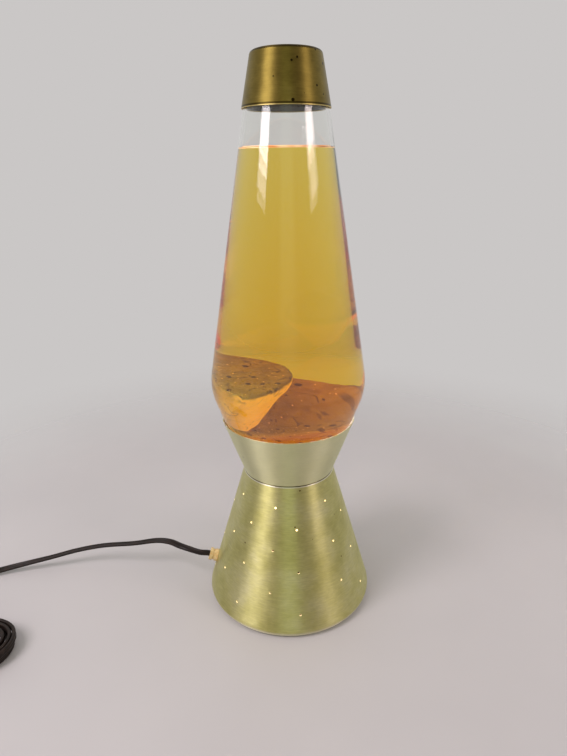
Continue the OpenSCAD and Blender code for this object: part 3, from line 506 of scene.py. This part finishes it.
# Black glass of the insulator: glossy, with a few bubbles about 1 mm across
black_glass, tree, shader, _ = mottled("black_base_glass", scale=900.0, detail=1.0,
                                       stops=[(0.4, "#0B0B0C"), (0.75, "#25252A")])
shader.inputs["Roughness"].default_value = 0.12
dress(nodes["bulb_insulator"], black_glass)
# Clear lead glass of the stem, smoked by years of use in patches of some 7 mm
stem_glass, tree, shader, _ = mottled("clear_stem_glass", scale=150.0, detail=2.0,
                                      stops=[(0.3, "#D9D4C8"), (0.7, "#F4F2EC")])
shader.inputs["Transmission Weight"].default_value = 1.0
shader.inputs["Roughness"].default_value = 0.08
dress(nodes["bulb_stem"], stem_glass)
# Tungsten wire at white heat, its coil lines about 0.5 mm apart
filament, tree, shader, place = new_material("tungsten_filament_lit")
coils = add_node(tree, "ShaderNodeTexNoise", inputs={"Vector": place, "Scale": 2000.0})
glow = add_node(tree, "ShaderNodeValToRGB", inputs={"Fac": coils.outputs["Fac"]},
                stops=[(0.3, "#FFB866"), (0.7, "#FFE9C4")])
tree.links.new(glow.outputs["Color"], shader.inputs["Base Color"])
tree.links.new(glow.outputs["Color"], shader.inputs["Emission Color"])
shader.inputs["Emission Strength"].default_value = 12.0
dress(nodes["bulb_filament"], filament)

# Glass bottle
# One piece of clear blown glass with a punt in its floor, a widest place a little above the cup, a long
# taper and a short neck. It stands loose in the cup. Its wall is 2.5 mm, and its corners are soft.
glass_t = 0.0025
floor_z = 0.1231
floor_t = 0.005
punt_r = 0.027
punt_rise = 0.005
heel = (0.03663, floor_z)
heel_radius = 0.0035
inner_heel_r = 0.0359
rim = (0.05280, 0.1680)
widest = (0.06280, 0.19576)
belly_radius = 0.045
cap_edge = (0.02990, 0.3970)
crown_z = 0.401
crown_w = 0.01188
crown_h = 0.012
neck_r = 0.017
neck_top = 0.4294
lip_edge = 0.0004
lathe_steps = 144


def rounded(a, b, c, radius, steps):
    a, b, c = Vector(a), Vector(b), Vector(c)
    u, v = (a - b).normalized(), (c - b).normalized()
    half = math.acos(u.dot(v)) / 2
    middle = b + (u + v).normalized() * radius / math.sin(half)
    first = b + u * radius / math.tan(half) - middle
    sweep = first.angle_signed(b + v * radius / math.tan(half) - middle)
    return [tuple(middle + Matrix.Rotation(-sweep * k / steps, 2) @ first) for k in range(steps + 1)]


def turn_on_lathe(name, outline, steps):
    bpy.ops.object.select_all(action="DESELECT")
    bpy.ops.mesh.primitive_plane_add(size=0.01)
    piece = bpy.context.object
    piece.name = piece.data.name = name
    bpy.ops.object.mode_set(mode="EDIT")
    bpy.ops.mesh.select_mode(type="VERT")
    bpy.ops.mesh.select_all(action="SELECT")
    bpy.ops.mesh.merge(type="CENTER")
    bpy.ops.transform.translate(value=(outline[0][0], 0, outline[0][1]))
    for (r0, z0), (r1, z1) in zip(outline, outline[1:]):
        bpy.ops.mesh.extrude_region_move(TRANSFORM_OT_translate={"value": (r1 - r0, 0, z1 - z0)})
    bpy.ops.mesh.select_all(action="SELECT")
    bpy.ops.mesh.spin(steps=steps, angle=2 * math.pi, center=(0, 0, 0), axis=(0, 0, 1))
    bpy.ops.mesh.select_all(action="SELECT")
    bpy.ops.mesh.remove_doubles(threshold=0.000002)
    bpy.ops.mesh.normals_make_consistent(inside=False)
    bpy.ops.object.mode_set(mode="OBJECT")
    bpy.ops.object.shade_smooth_by_angle(angle=math.radians(35))
    return piece


heel_turn = rounded((punt_r, floor_z), heel, rim, heel_radius, 6)
shoulder = rounded(rim, widest, cap_edge, belly_radius, 20) + [cap_edge]
crown = [(neck_r + crown_w * math.cos(math.radians(a)), crown_z + crown_h * math.sin(math.radians(a)))
         for a in range(0, 91, 10)]
outside = [(0, floor_z + punt_rise), (punt_r, floor_z)] + heel_turn + shoulder + crown
lip = [(neck_r, neck_top - lip_edge), (neck_r - lip_edge, neck_top),
       (neck_r - glass_t + lip_edge, neck_top), (neck_r - glass_t, neck_top - lip_edge)]
inside = [(r - glass_t, z) for r, z in shoulder + crown]
floor = [(inner_heel_r, floor_z + floor_t), (punt_r, floor_z + floor_t), (0, floor_z + floor_t + punt_rise)]
bottle = turn_on_lathe("glass_bottle", outside + lip + inside[::-1] + floor, lathe_steps)

# Clear soda glass, blown: faint ripples about 40 mm apart from the blowing, a hint of green in its thickness
clear_glass, tree, shader, place = new_material("clear_soda_glass")
ripple = add_node(tree, "ShaderNodeTexNoise", inputs={"Vector": place, "Scale": 25.0, "Detail": 1.0})
lift = add_node(tree, "ShaderNodeBump",
                inputs={"Height": ripple.outputs["Fac"], "Strength": 0.03, "Distance": 0.002})
tree.links.new(lift.outputs["Normal"], shader.inputs["Normal"])
shader.inputs["Base Color"].default_value = linear("#FBFCFA")
shader.inputs["Roughness"].default_value = 0.0
shader.inputs["IOR"].default_value = 1.43
shader.inputs["Transmission Weight"].default_value = 1.0
dress(bottle, clear_glass)
# Without caustics its shadow would be black, so it casts none, and the liquid neither
bottle.visible_shadow = False
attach(bottle, "bottle")
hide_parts("bottle", "bottle_neck")

# Yellow liquid
# Dyed water that fills the bottle to 26 mm below the cap, with a small climb where it wets the glass. It
# reaches a hair into the glass here, so that no film of air shows between the two.
overlap = 0.0002
surface_r = 0.03165
level_z = 0.3710
wetting = [(0.0001, 0.0012), (-0.0003, 0.0007), (-0.0010, 0.0003), (-0.0022, 0.0001), (-0.0040, 0)]
bed = [(0, floor_z + floor_t + punt_rise - overlap), (punt_r, floor_z + floor_t - overlap),
       (inner_heel_r + overlap, floor_z + floor_t - overlap)]
sides = [(r - glass_t + overlap, z) for r, z in shoulder[:-1]]
surface = [(surface_r + r, level_z + z) for r, z in wetting] + [(0, level_z)]
liquid = turn_on_lathe("yellow_liquid", bed + sides + surface, lathe_steps)
# Dyed water: clear, refracts like water with a little glycol, and drinks blue light over some 30 mm
dyed_water, tree, shader, place = new_material("dyed_yellow_water")
shader.inputs["Base Color"].default_value = linear("#FFFFFF")
shader.inputs["Roughness"].default_value = 0.0
shader.inputs["IOR"].default_value = 1.37
shader.inputs["Transmission Weight"].default_value = 1.0
drink = add_node(tree, "ShaderNodeVolumeAbsorption", inputs={"Color": linear("#FFF000"), "Density": 36.0})
tree.links.new(drink.outputs["Volume"], tree.nodes["Material Output"].inputs["Volume"])
dress(liquid, dyed_water)
liquid.visible_shadow = False
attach(liquid, "bottle")
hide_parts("liquid")

# Tide line
# A thin film of wax and dye has dried on the glass just at the liquid's edge, where the level has moved
# up and down as the lamp warmed and cooled. It is half a millimetre thick and uneven.
film = [(0.03150, 0.3713), (0.03136, 0.3722), (0.03126, 0.3727), (0.03104, 0.3724), (0.03108, 0.3714)]
tide = turn_on_lathe("tide_line", film + film[:1], lathe_steps)
# Dried wax film: a dull orange with a faint painted glow as if lit from within, paler where it is thin, in
# patches of some 8 mm
wax_film, tree, shader, place = new_material("dried_wax_film")
patches = add_node(tree, "ShaderNodeTexNoise", inputs={"Vector": place, "Scale": 120.0, "Detail": 3.0})
tone = add_node(tree, "ShaderNodeValToRGB", inputs={"Fac": patches.outputs["Fac"]},
                stops=[(0.35, "#D8873A"), (0.65, "#F3C490")])
tree.links.new(tone.outputs["Color"], shader.inputs["Base Color"])
tree.links.new(tone.outputs["Color"], shader.inputs["Emission Color"])
shader.inputs["Emission Strength"].default_value = 0.3
shader.inputs["Roughness"].default_value = 0.5
dress(tide, wax_film)
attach(tide, "bottle")

# Wax
# Paraffin coloured orange. The main lump has set on the bottle's floor round a wire coil, and a lobe of
# it is breaking away on the left. Both are rounded and wrinkled where the wax has slumped and cooled.


def soften_wax(name, node, voxel, slumps, folds, fold_size):
    mesh = nodes[node].data.copy()
    mesh.name = name
    piece = bpy.data.objects.new(name, mesh)
    bpy.context.scene.collection.objects.link(piece)
    bpy.ops.object.select_all(action="DESELECT")
    piece.select_set(True)
    bpy.context.view_layer.objects.active = piece
    bpy.ops.object.mode_set(mode="EDIT")
    bpy.ops.mesh.select_all(action="SELECT")
    bpy.ops.mesh.remove_doubles(threshold=0.00002)
    bpy.ops.object.mode_set(mode="OBJECT")
    block = piece.modifiers.new("remelt", "REMESH")
    block.mode = "VOXEL"
    block.voxel_size = voxel
    bpy.ops.object.modifier_apply(modifier=block.name)
    slump = piece.modifiers.new("slump", "SMOOTH")
    slump.factor = 0.5
    slump.iterations = slumps
    bpy.ops.object.modifier_apply(modifier=slump.name)
    grain = bpy.data.textures.new(name + "_folds", "CLOUDS")
    grain.noise_scale = fold_size
    grain.noise_depth = 3
    wrinkle = piece.modifiers.new("wrinkle", "DISPLACE")
    wrinkle.texture = grain
    wrinkle.strength = folds
    wrinkle.mid_level = 1.0
    bpy.ops.object.modifier_apply(modifier=wrinkle.name)
    bpy.ops.object.shade_smooth()
    return piece


settled = soften_wax("settled_wax", "wax_pool", voxel=0.0012, slumps=30, folds=0.0008, fold_size=0.020)
rising = soften_wax("rising_wax", "wax_lobe", voxel=0.0007, slumps=6, folds=0.0016, fold_size=0.009)

# Paraffin wax, warm from below: dull brown-orange on top with a grain of some 9 mm. A painted orange glow
# stands for the bulb's light through its underside, and a painted red-orange glow lies low down against the
# glass
wax, tree, shader, place = new_material("orange_paraffin_wax")
height = add_node(tree, "ShaderNodeSeparateXYZ", inputs={"Vector": place})
grain = add_node(tree, "ShaderNodeTexNoise",
                 inputs={"Vector": place, "Scale": 110.0, "Detail": 6.0, "Roughness": 0.6})
skin = add_node(tree, "ShaderNodeValToRGB", inputs={"Fac": grain.outputs["Fac"]},
                stops=[(0.28, "#604A10"), (0.5, "#785E16"), (0.72, "#8A7020")])
# Bubbles rose through it and burst: pits up to 4 mm across on its top faces, in cells of 12 mm, flat, with
# their depth given as painted shade
facing = add_node(tree, "ShaderNodeNewGeometry")
up = add_node(tree, "ShaderNodeSeparateXYZ", inputs={"Vector": facing.outputs["Normal"]})
on_top = add_node(tree, "ShaderNodeMath", {"operation": "GREATER_THAN"}, {0: up.outputs["Z"], 1: 0.5})
pits = add_node(tree, "ShaderNodeTexVoronoi", {"voronoi_dimensions": "2D"}, {"Vector": place, "Scale": 85.0})
pit_size = add_node(tree, "ShaderNodeMapRange",
                    inputs={"Value": pits.outputs["Color"], 1: 0.42, 2: 0.75, 3: 0.0, 4: 0.17})
burst = add_node(tree, "ShaderNodeMath", {"operation": "LESS_THAN"},
                 {0: pits.outputs["Distance"], 1: pit_size.outputs["Result"]})
pitted = add_node(tree, "ShaderNodeMath", {"operation": "MULTIPLY"},
                  {0: burst.outputs["Value"], 1: on_top.outputs["Value"]})
spotted = add_node(tree, "ShaderNodeMix", {"data_type": "RGBA"},
                   {0: pitted.outputs["Value"], 6: skin.outputs["Color"], 7: linear("#2E1604")})
# Shrinkage cracks some 20 mm apart that wander and break off, drawn as thin lines of painted shade
cracks = add_node(tree, "ShaderNodeTexNoise",
                  inputs={"Vector": place, "Scale": 48.0, "Detail": 2.0, "Distortion": 0.8})
from_line = add_node(tree, "ShaderNodeMath", {"operation": "SUBTRACT"}, {0: cracks.outputs["Fac"], 1: 0.5})
line_width = add_node(tree, "ShaderNodeMath", {"operation": "ABSOLUTE"}, {0: from_line.outputs["Value"]})
cracked = add_node(tree, "ShaderNodeMapRange", {"interpolation_type": "SMOOTHSTEP"},
                   {"Value": line_width.outputs["Value"], 1: 0.034, 2: 0.008})
broken = add_node(tree, "ShaderNodeMapRange", {"interpolation_type": "SMOOTHSTEP"},
                  {"Value": grain.outputs["Fac"], 1: 0.49, 2: 0.56, 3: 0.0, 4: 0.75})
crack = add_node(tree, "ShaderNodeMath", {"operation": "MULTIPLY"},
                 {0: cracked.outputs["Result"], 1: broken.outputs["Result"]})
seamed = add_node(tree, "ShaderNodeMix", {"data_type": "RGBA"},
                  {0: crack.outputs["Value"], 6: spotted.outputs[2], 7: linear("#331A06")})
# Dust that the wax has caught: pale specks up to 1 mm across, in cells of 5 mm
dust = add_node(tree, "ShaderNodeTexVoronoi", {"voronoi_dimensions": "2D"}, {"Vector": place, "Scale": 190.0})
dust_size = add_node(tree, "ShaderNodeMapRange",
                     inputs={"Value": dust.outputs["Color"], 1: 0.45, 2: 0.75, 3: 0.0, 4: 0.09})
fallen = add_node(tree, "ShaderNodeMath", {"operation": "LESS_THAN"},
                  {0: dust.outputs["Distance"], 1: dust_size.outputs["Result"]})
dusted = add_node(tree, "ShaderNodeMath", {"operation": "MULTIPLY"},
                  {0: fallen.outputs["Value"], 1: on_top.outputs["Value"]})
specked = add_node(tree, "ShaderNodeMix", {"data_type": "RGBA"},
                   {0: dusted.outputs["Value"], 6: seamed.outputs[2], 7: linear("#DDB266")})
# A painted glow for the bulb's light coming through: under the lobe, low down by the glass, and a little all
# round
under = add_node(tree, "ShaderNodeMapRange", {"interpolation_type": "SMOOTHSTEP"},
                 {"Value": up.outputs["Z"], 1: 0.42, 2: -0.15})
low = add_node(tree, "ShaderNodeMapRange", {"interpolation_type": "SMOOTHSTEP"},
               {"Value": height.outputs["Z"], 1: 0.1700, 2: 0.1655, 3: 0.0, 4: 0.45})
deep = add_node(tree, "ShaderNodeMapRange", {"interpolation_type": "SMOOTHSTEP"},
                {"Value": height.outputs["Z"], 1: 0.205, 2: 0.185, 3: 0.0, 4: 0.12})
through = add_node(tree, "ShaderNodeMath", {"operation": "MAXIMUM"},
                   {0: under.outputs["Result"], 1: low.outputs["Result"]})
# The painted glow on the main lump grows toward the right, where it is thinner
side = add_node(tree, "ShaderNodeMapRange",
                inputs={"Value": height.outputs["X"], 1: -0.02, 2: 0.045, 3: 0.35, 4: 1.5})
sideways = add_node(tree, "ShaderNodeMath", {"operation": "MULTIPLY"},
                    {0: deep.outputs["Result"], 1: side.outputs["Result"]})
lit = add_node(tree, "ShaderNodeMath", {"operation": "MAXIMUM"},
               {0: through.outputs["Value"], 1: sideways.outputs["Value"]})
glow = add_node(tree, "ShaderNodeValToRGB", inputs={"Fac": low.outputs["Result"]},
                stops=[(0.0, "#F2A42E"), (0.3, "#E08A28"), (0.45, "#C4501E")])
# The painted glow is strongest where the lobe is thin, to its right
thin = add_node(tree, "ShaderNodeMapRange",
                inputs={"Value": height.outputs["X"], 1: -0.055, 2: -0.028, 3: 0.22, 4: 0.85})
painted_lamp_glow = add_node(tree, "ShaderNodeMath", {"operation": "MULTIPLY"},
                    {0: lit.outputs["Value"], 1: thin.outputs["Result"]})
# Cracks and pits stay dark in the painted glow
marks = add_node(tree, "ShaderNodeMath", {"operation": "MAXIMUM"},
                 {0: crack.outputs["Value"], 1: pitted.outputs["Value"]})
unmarked = add_node(tree, "ShaderNodeMapRange", inputs={"Value": marks.outputs["Value"], 3: 1.0, 4: 0.6})
painted_glow_strength = add_node(tree, "ShaderNodeMath", {"operation": "MULTIPLY"},
                 {0: painted_lamp_glow.outputs["Value"], 1: unmarked.outputs["Result"]})
lift = add_node(tree, "ShaderNodeBump",
                inputs={"Height": grain.outputs["Fac"], "Strength": 0.5, "Distance": 0.002})
tree.links.new(specked.outputs[2], shader.inputs["Base Color"])
tree.links.new(glow.outputs["Color"], shader.inputs["Emission Color"])
tree.links.new(painted_glow_strength.outputs["Value"], shader.inputs["Emission Strength"])
tree.links.new(lift.outputs["Normal"], shader.inputs["Normal"])
shader.inputs["Roughness"].default_value = 0.45
shader.inputs["Specular IOR Level"].default_value = 0.05
shader.inputs["Subsurface Weight"].default_value = 0.2
shader.inputs["Subsurface Radius"].default_value = (0.006, 0.0025, 0.0008)
shader.inputs["Subsurface Scale"].default_value = 1.0
for piece, node, body in ((settled, "wax_pool", "bottle"), (rising, "wax_lobe", "wax")):
    dress(piece, wax)
    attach(piece, body)
    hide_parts(node)
dress(nodes["heat_coil"], zinc)

# Closure
# A pressed tinplate screw closure with a rubber disc in it seals the neck. It hides under the cap.
# Black lacquered tinplate: glossy lacquer with fine scratches every few millimetres
lacquer, tree, shader, _ = mottled("black_lacquered_tinplate", scale=400.0, detail=3.0,
                                   stops=[(0.4, "#121110"), (0.75, "#2B2824")])
shader.inputs["Roughness"].default_value = 0.3
dress(nodes["closure"], lacquer)
# White rubber, cut from sheet: dull, with talc on it in patches of some 2 mm
rubber, tree, shader, _ = mottled("white_rubber_sheet", scale=500.0, detail=2.0,
                                  stops=[(0.35, "#CFCBC2"), (0.7, "#E6E3DC")])
shader.inputs["Roughness"].default_value = 0.8
dress(nodes["closure_liner"], rubber)

# Cap
# A shallow cup of the same spun sheet, dropped over the neck. Its dye is deeper than the foot's, an old
# bronze gold, spotted with dark pits, and with a painted dark reflection round the bend of its top.
dark_line_z = 0.3982
cut_edge_z = 0.3975
# Bronze dye in clouds some 20 mm across. Pits up to 1.5 mm across lie in cells of 5 mm, many of them empty.
bronze, tree, shader, stained, height, turned = brush_and_dye(
    "anodised_aluminium_bronze",
    cloud_scale=50.0, dyes=[(0.3, "#776630"), (0.55, "#8C7A3C"), (0.75, "#9C894C")], line_shade="#DCDCDC",
    pit_scale=200.0, pit_from=0.35, pit_to=0.24, stain="#2E220C", glosses=(0.42, 0.56), streak=0.8,
)
# Its inside is near-black with painted shade
turned_in = add_node(tree, "ShaderNodeMath", {"operation": "LESS_THAN"}, {0: turned, 1: 0.001})
slope = add_node(tree, "ShaderNodeSeparateXYZ",
                 inputs={"Vector": add_node(tree, "ShaderNodeNewGeometry").outputs["Normal"]})
not_top = add_node(tree, "ShaderNodeMath", {"operation": "LESS_THAN"}, {0: slope.outputs["Z"], 1: 0.5})
inner = add_node(tree, "ShaderNodeMath", {"operation": "MULTIPLY"},
                 {0: turned_in.outputs["Value"], 1: not_top.outputs["Value"]})
shaded_inside = add_node(tree, "ShaderNodeMix", {"data_type": "RGBA"},
                 {0: inner.outputs["Value"], 6: stained, 7: linear("#1A140B")})
# A painted highlight brightens the cut edge below, with a painted shade line over it, and a painted dark
# reflection dulls the bend at the top
dark_line = add_node(tree, "ShaderNodeMath", {"operation": "COMPARE"}, {0: height, 1: dark_line_z, 2: 0.0006})
bend = add_node(tree, "ShaderNodeMath", {"operation": "COMPARE"}, {0: slope.outputs["Z"], 1: 0.66, 2: 0.28})
darkened = add_node(tree, "ShaderNodeMath", {"operation": "MAXIMUM"},
                 {0: dark_line.outputs["Value"], 1: bend.outputs["Value"]})
painted_darkening = add_node(tree, "ShaderNodeMath", {"operation": "MULTIPLY"}, {0: darkened.outputs["Value"], 1: 0.75})
painted_dark_bands = add_node(tree, "ShaderNodeMix", {"data_type": "RGBA"},
                 {0: painted_darkening.outputs["Value"], 6: shaded_inside.outputs[2], 7: linear("#2A2010")})
cut = add_node(tree, "ShaderNodeMath", {"operation": "LESS_THAN"}, {0: height, 1: cut_edge_z})
edge_highlighted = add_node(tree, "ShaderNodeMix", {"data_type": "RGBA"},
                 {0: cut.outputs["Value"], 6: painted_dark_bands.outputs[2], 7: linear("#CDB876")})
bare = add_node(tree, "ShaderNodeMath", {"operation": "SUBTRACT"}, {0: 1.0, 1: inner.outputs["Value"]})
tree.links.new(edge_highlighted.outputs[2], shader.inputs["Base Color"])
tree.links.new(bare.outputs["Value"], shader.inputs["Metallic"])
dress(nodes["cap"], bronze)

# Table and light
# A large pale table top in a pale room. A soft light with a dimmer skirt below it stands in front on each
# side. The room is dimmer behind the camera, but for a tall pale window there.
table_size = 6
light_away = 1.3
lit_middle = Vector((0, 0, 0.22))
bpy.ops.object.select_all(action="DESELECT")
bpy.ops.mesh.primitive_plane_add(size=table_size, location=(0, 0, 0))
table = bpy.context.object
table.name = "table_top"
# Pale grey laminate: nearly matt, with a faint unevenness some 170 mm across
laminate, tree, shader, place = new_material("pale_grey_laminate")
uneven = add_node(tree, "ShaderNodeTexNoise", inputs={"Vector": place, "Scale": 6.0, "Detail": 3.0})
tone = add_node(tree, "ShaderNodeValToRGB", inputs={"Fac": uneven.outputs["Fac"]},
                stops=[(0.3, "#B8B4B5"), (0.7, "#BDB9BA")])
tree.links.new(tone.outputs["Color"], shader.inputs["Base Color"])
shader.inputs["Roughness"].default_value = 0.5
# It fades into the room's colour all round the lamp
away = add_node(tree, "ShaderNodeVectorMath", {"operation": "LENGTH"}, {0: place})
fade = add_node(tree, "ShaderNodeMapRange", {"interpolation_type": "SMOOTHSTEP"},
                {"Value": away.outputs["Value"], 1: 0.28, 2: 0.66, 3: 1.0, 4: 0.0})
tree.links.new(fade.outputs["Result"], shader.inputs["Alpha"])
dress(table, laminate)


def soft_light(name, azimuth, elevation, width, tall, watts, colour):
    lamp = bpy.data.lights.new(name, "AREA")
    lamp.shape = "RECTANGLE"
    lamp.size = width
    lamp.size_y = tall
    lamp.energy = watts
    lamp.color = linear(colour)[:3]
    holder = bpy.data.objects.new(name, lamp)
    bpy.context.scene.collection.objects.link(holder)
    a, e = math.radians(azimuth), math.radians(elevation)
    way = Vector((math.sin(a) * math.cos(e), -math.cos(a) * math.cos(e), math.sin(e)))
    aim = (-way).to_track_quat("-Z", "Y").to_matrix().to_4x4()
    holder.matrix_world = Matrix.Translation(lit_middle + light_away * way) @ aim


soft_light("left_strip", -57, 41.4, 0.48, 0.72, 10.8, "#FFF6FA")
soft_light("left_skirt", -57, 24.3, 0.48, 0.12, 0.75, "#FFF6FA")
soft_light("right_strip", 62, 32.6, 0.40, 0.26, 3.0, "#FFECE8")
soft_light("right_skirt", 62, 24.0, 0.40, 0.13, 0.65, "#FFF4F4")

room = bpy.data.worlds.new("pale_room")
bpy.context.scene.world = room
room.use_nodes = True
tree = room.node_tree
heading = add_node(tree, "ShaderNodeSeparateXYZ",
                   inputs={"Vector": add_node(tree, "ShaderNodeTexCoord").outputs["Generated"]})
depth = add_node(tree, "ShaderNodeMapRange", inputs={"Value": heading.outputs["Y"], 1: -1.0, 2: 1.0})
around = add_node(tree, "ShaderNodeValToRGB", inputs={"Fac": depth.outputs["Result"]},
                  stops=[(0.0, "#B4B0AE"), (0.55, "#CFCDCB"), (1.0, "#E6E6E4")])
# What the metal mirrors: a dim room in front, brighter to the sides and behind
aside = add_node(tree, "ShaderNodeMath", {"operation": "ABSOLUTE"}, {0: heading.outputs["X"]})
in_front = add_node(tree, "ShaderNodeValToRGB", inputs={"Fac": aside.outputs["Value"]},
                    stops=[(0.0, "#958E80"), (0.55, "#8C857A"), (0.85, "#A8A39C"), (1.0, "#BCB7B0")])
behind = add_node(tree, "ShaderNodeMapRange", inputs={"Value": heading.outputs["Y"], 1: -0.2, 2: 0.5})
mirrored = add_node(tree, "ShaderNodeMix", {"data_type": "RGBA"},
                    {0: behind.outputs["Result"], 6: in_front.outputs["Color"], 7: linear("#DDDDDA")})
rays = add_node(tree, "ShaderNodeLightPath")
lit = add_node(tree, "ShaderNodeMix", {"data_type": "RGBA"},
               {0: rays.outputs["Is Glossy Ray"], 6: around.outputs["Color"], 7: mirrored.outputs[2]})
# The window: a greenish white that is brightest from 15 degrees up
ahead = add_node(tree, "ShaderNodeMapRange", inputs={"Value": heading.outputs["Y"], 1: -0.6, 2: -0.8})
middle = add_node(tree, "ShaderNodeMapRange", inputs={"Value": aside.outputs["Value"], 1: 0.28, 2: 0.16})
upward = add_node(tree, "ShaderNodeMapRange",
                  inputs={"Value": heading.outputs["Z"], 1: 0.0, 2: 0.25, 3: 0.5, 4: 1.0})
pane = add_node(tree, "ShaderNodeMath", {"operation": "MULTIPLY"},
                {0: ahead.outputs["Result"], 1: middle.outputs["Result"]})
window = add_node(tree, "ShaderNodeMath", {"operation": "MULTIPLY"},
                  {0: pane.outputs["Value"], 1: upward.outputs["Result"]})
glazed = add_node(tree, "ShaderNodeMix", {"data_type": "RGBA"},
                  {0: window.outputs["Value"], 6: lit.outputs[2], 7: linear("#F2FFD8")})
# Below the horizon the table goes on
ground = add_node(tree, "ShaderNodeMapRange", inputs={"Value": heading.outputs["Z"], 1: 0.0, 2: -0.04})
floored = add_node(tree, "ShaderNodeMix", {"data_type": "RGBA"},
                   {0: ground.outputs["Result"], 6: glazed.outputs[2], 7: linear("#C0BAB8")})
seen = add_node(tree, "ShaderNodeMath", {"operation": "MAXIMUM"},
                {0: rays.outputs["Is Camera Ray"], 1: rays.outputs["Is Transmission Ray"]})
shown = add_node(tree, "ShaderNodeMix", {"data_type": "RGBA"},
                 {0: seen.outputs["Value"], 6: floored.outputs[2], 7: linear("#CAC7C6")})
tree.links.new(shown.outputs[2], tree.nodes["Background"].inputs["Color"])
tree.nodes["Background"].inputs["Strength"].default_value = 1.0
# Light runs along inside the bottle's wall, so it is followed through more walls than usual
bpy.context.scene.cycles.max_bounces = 32
bpy.context.scene.cycles.transmission_bounces = 32
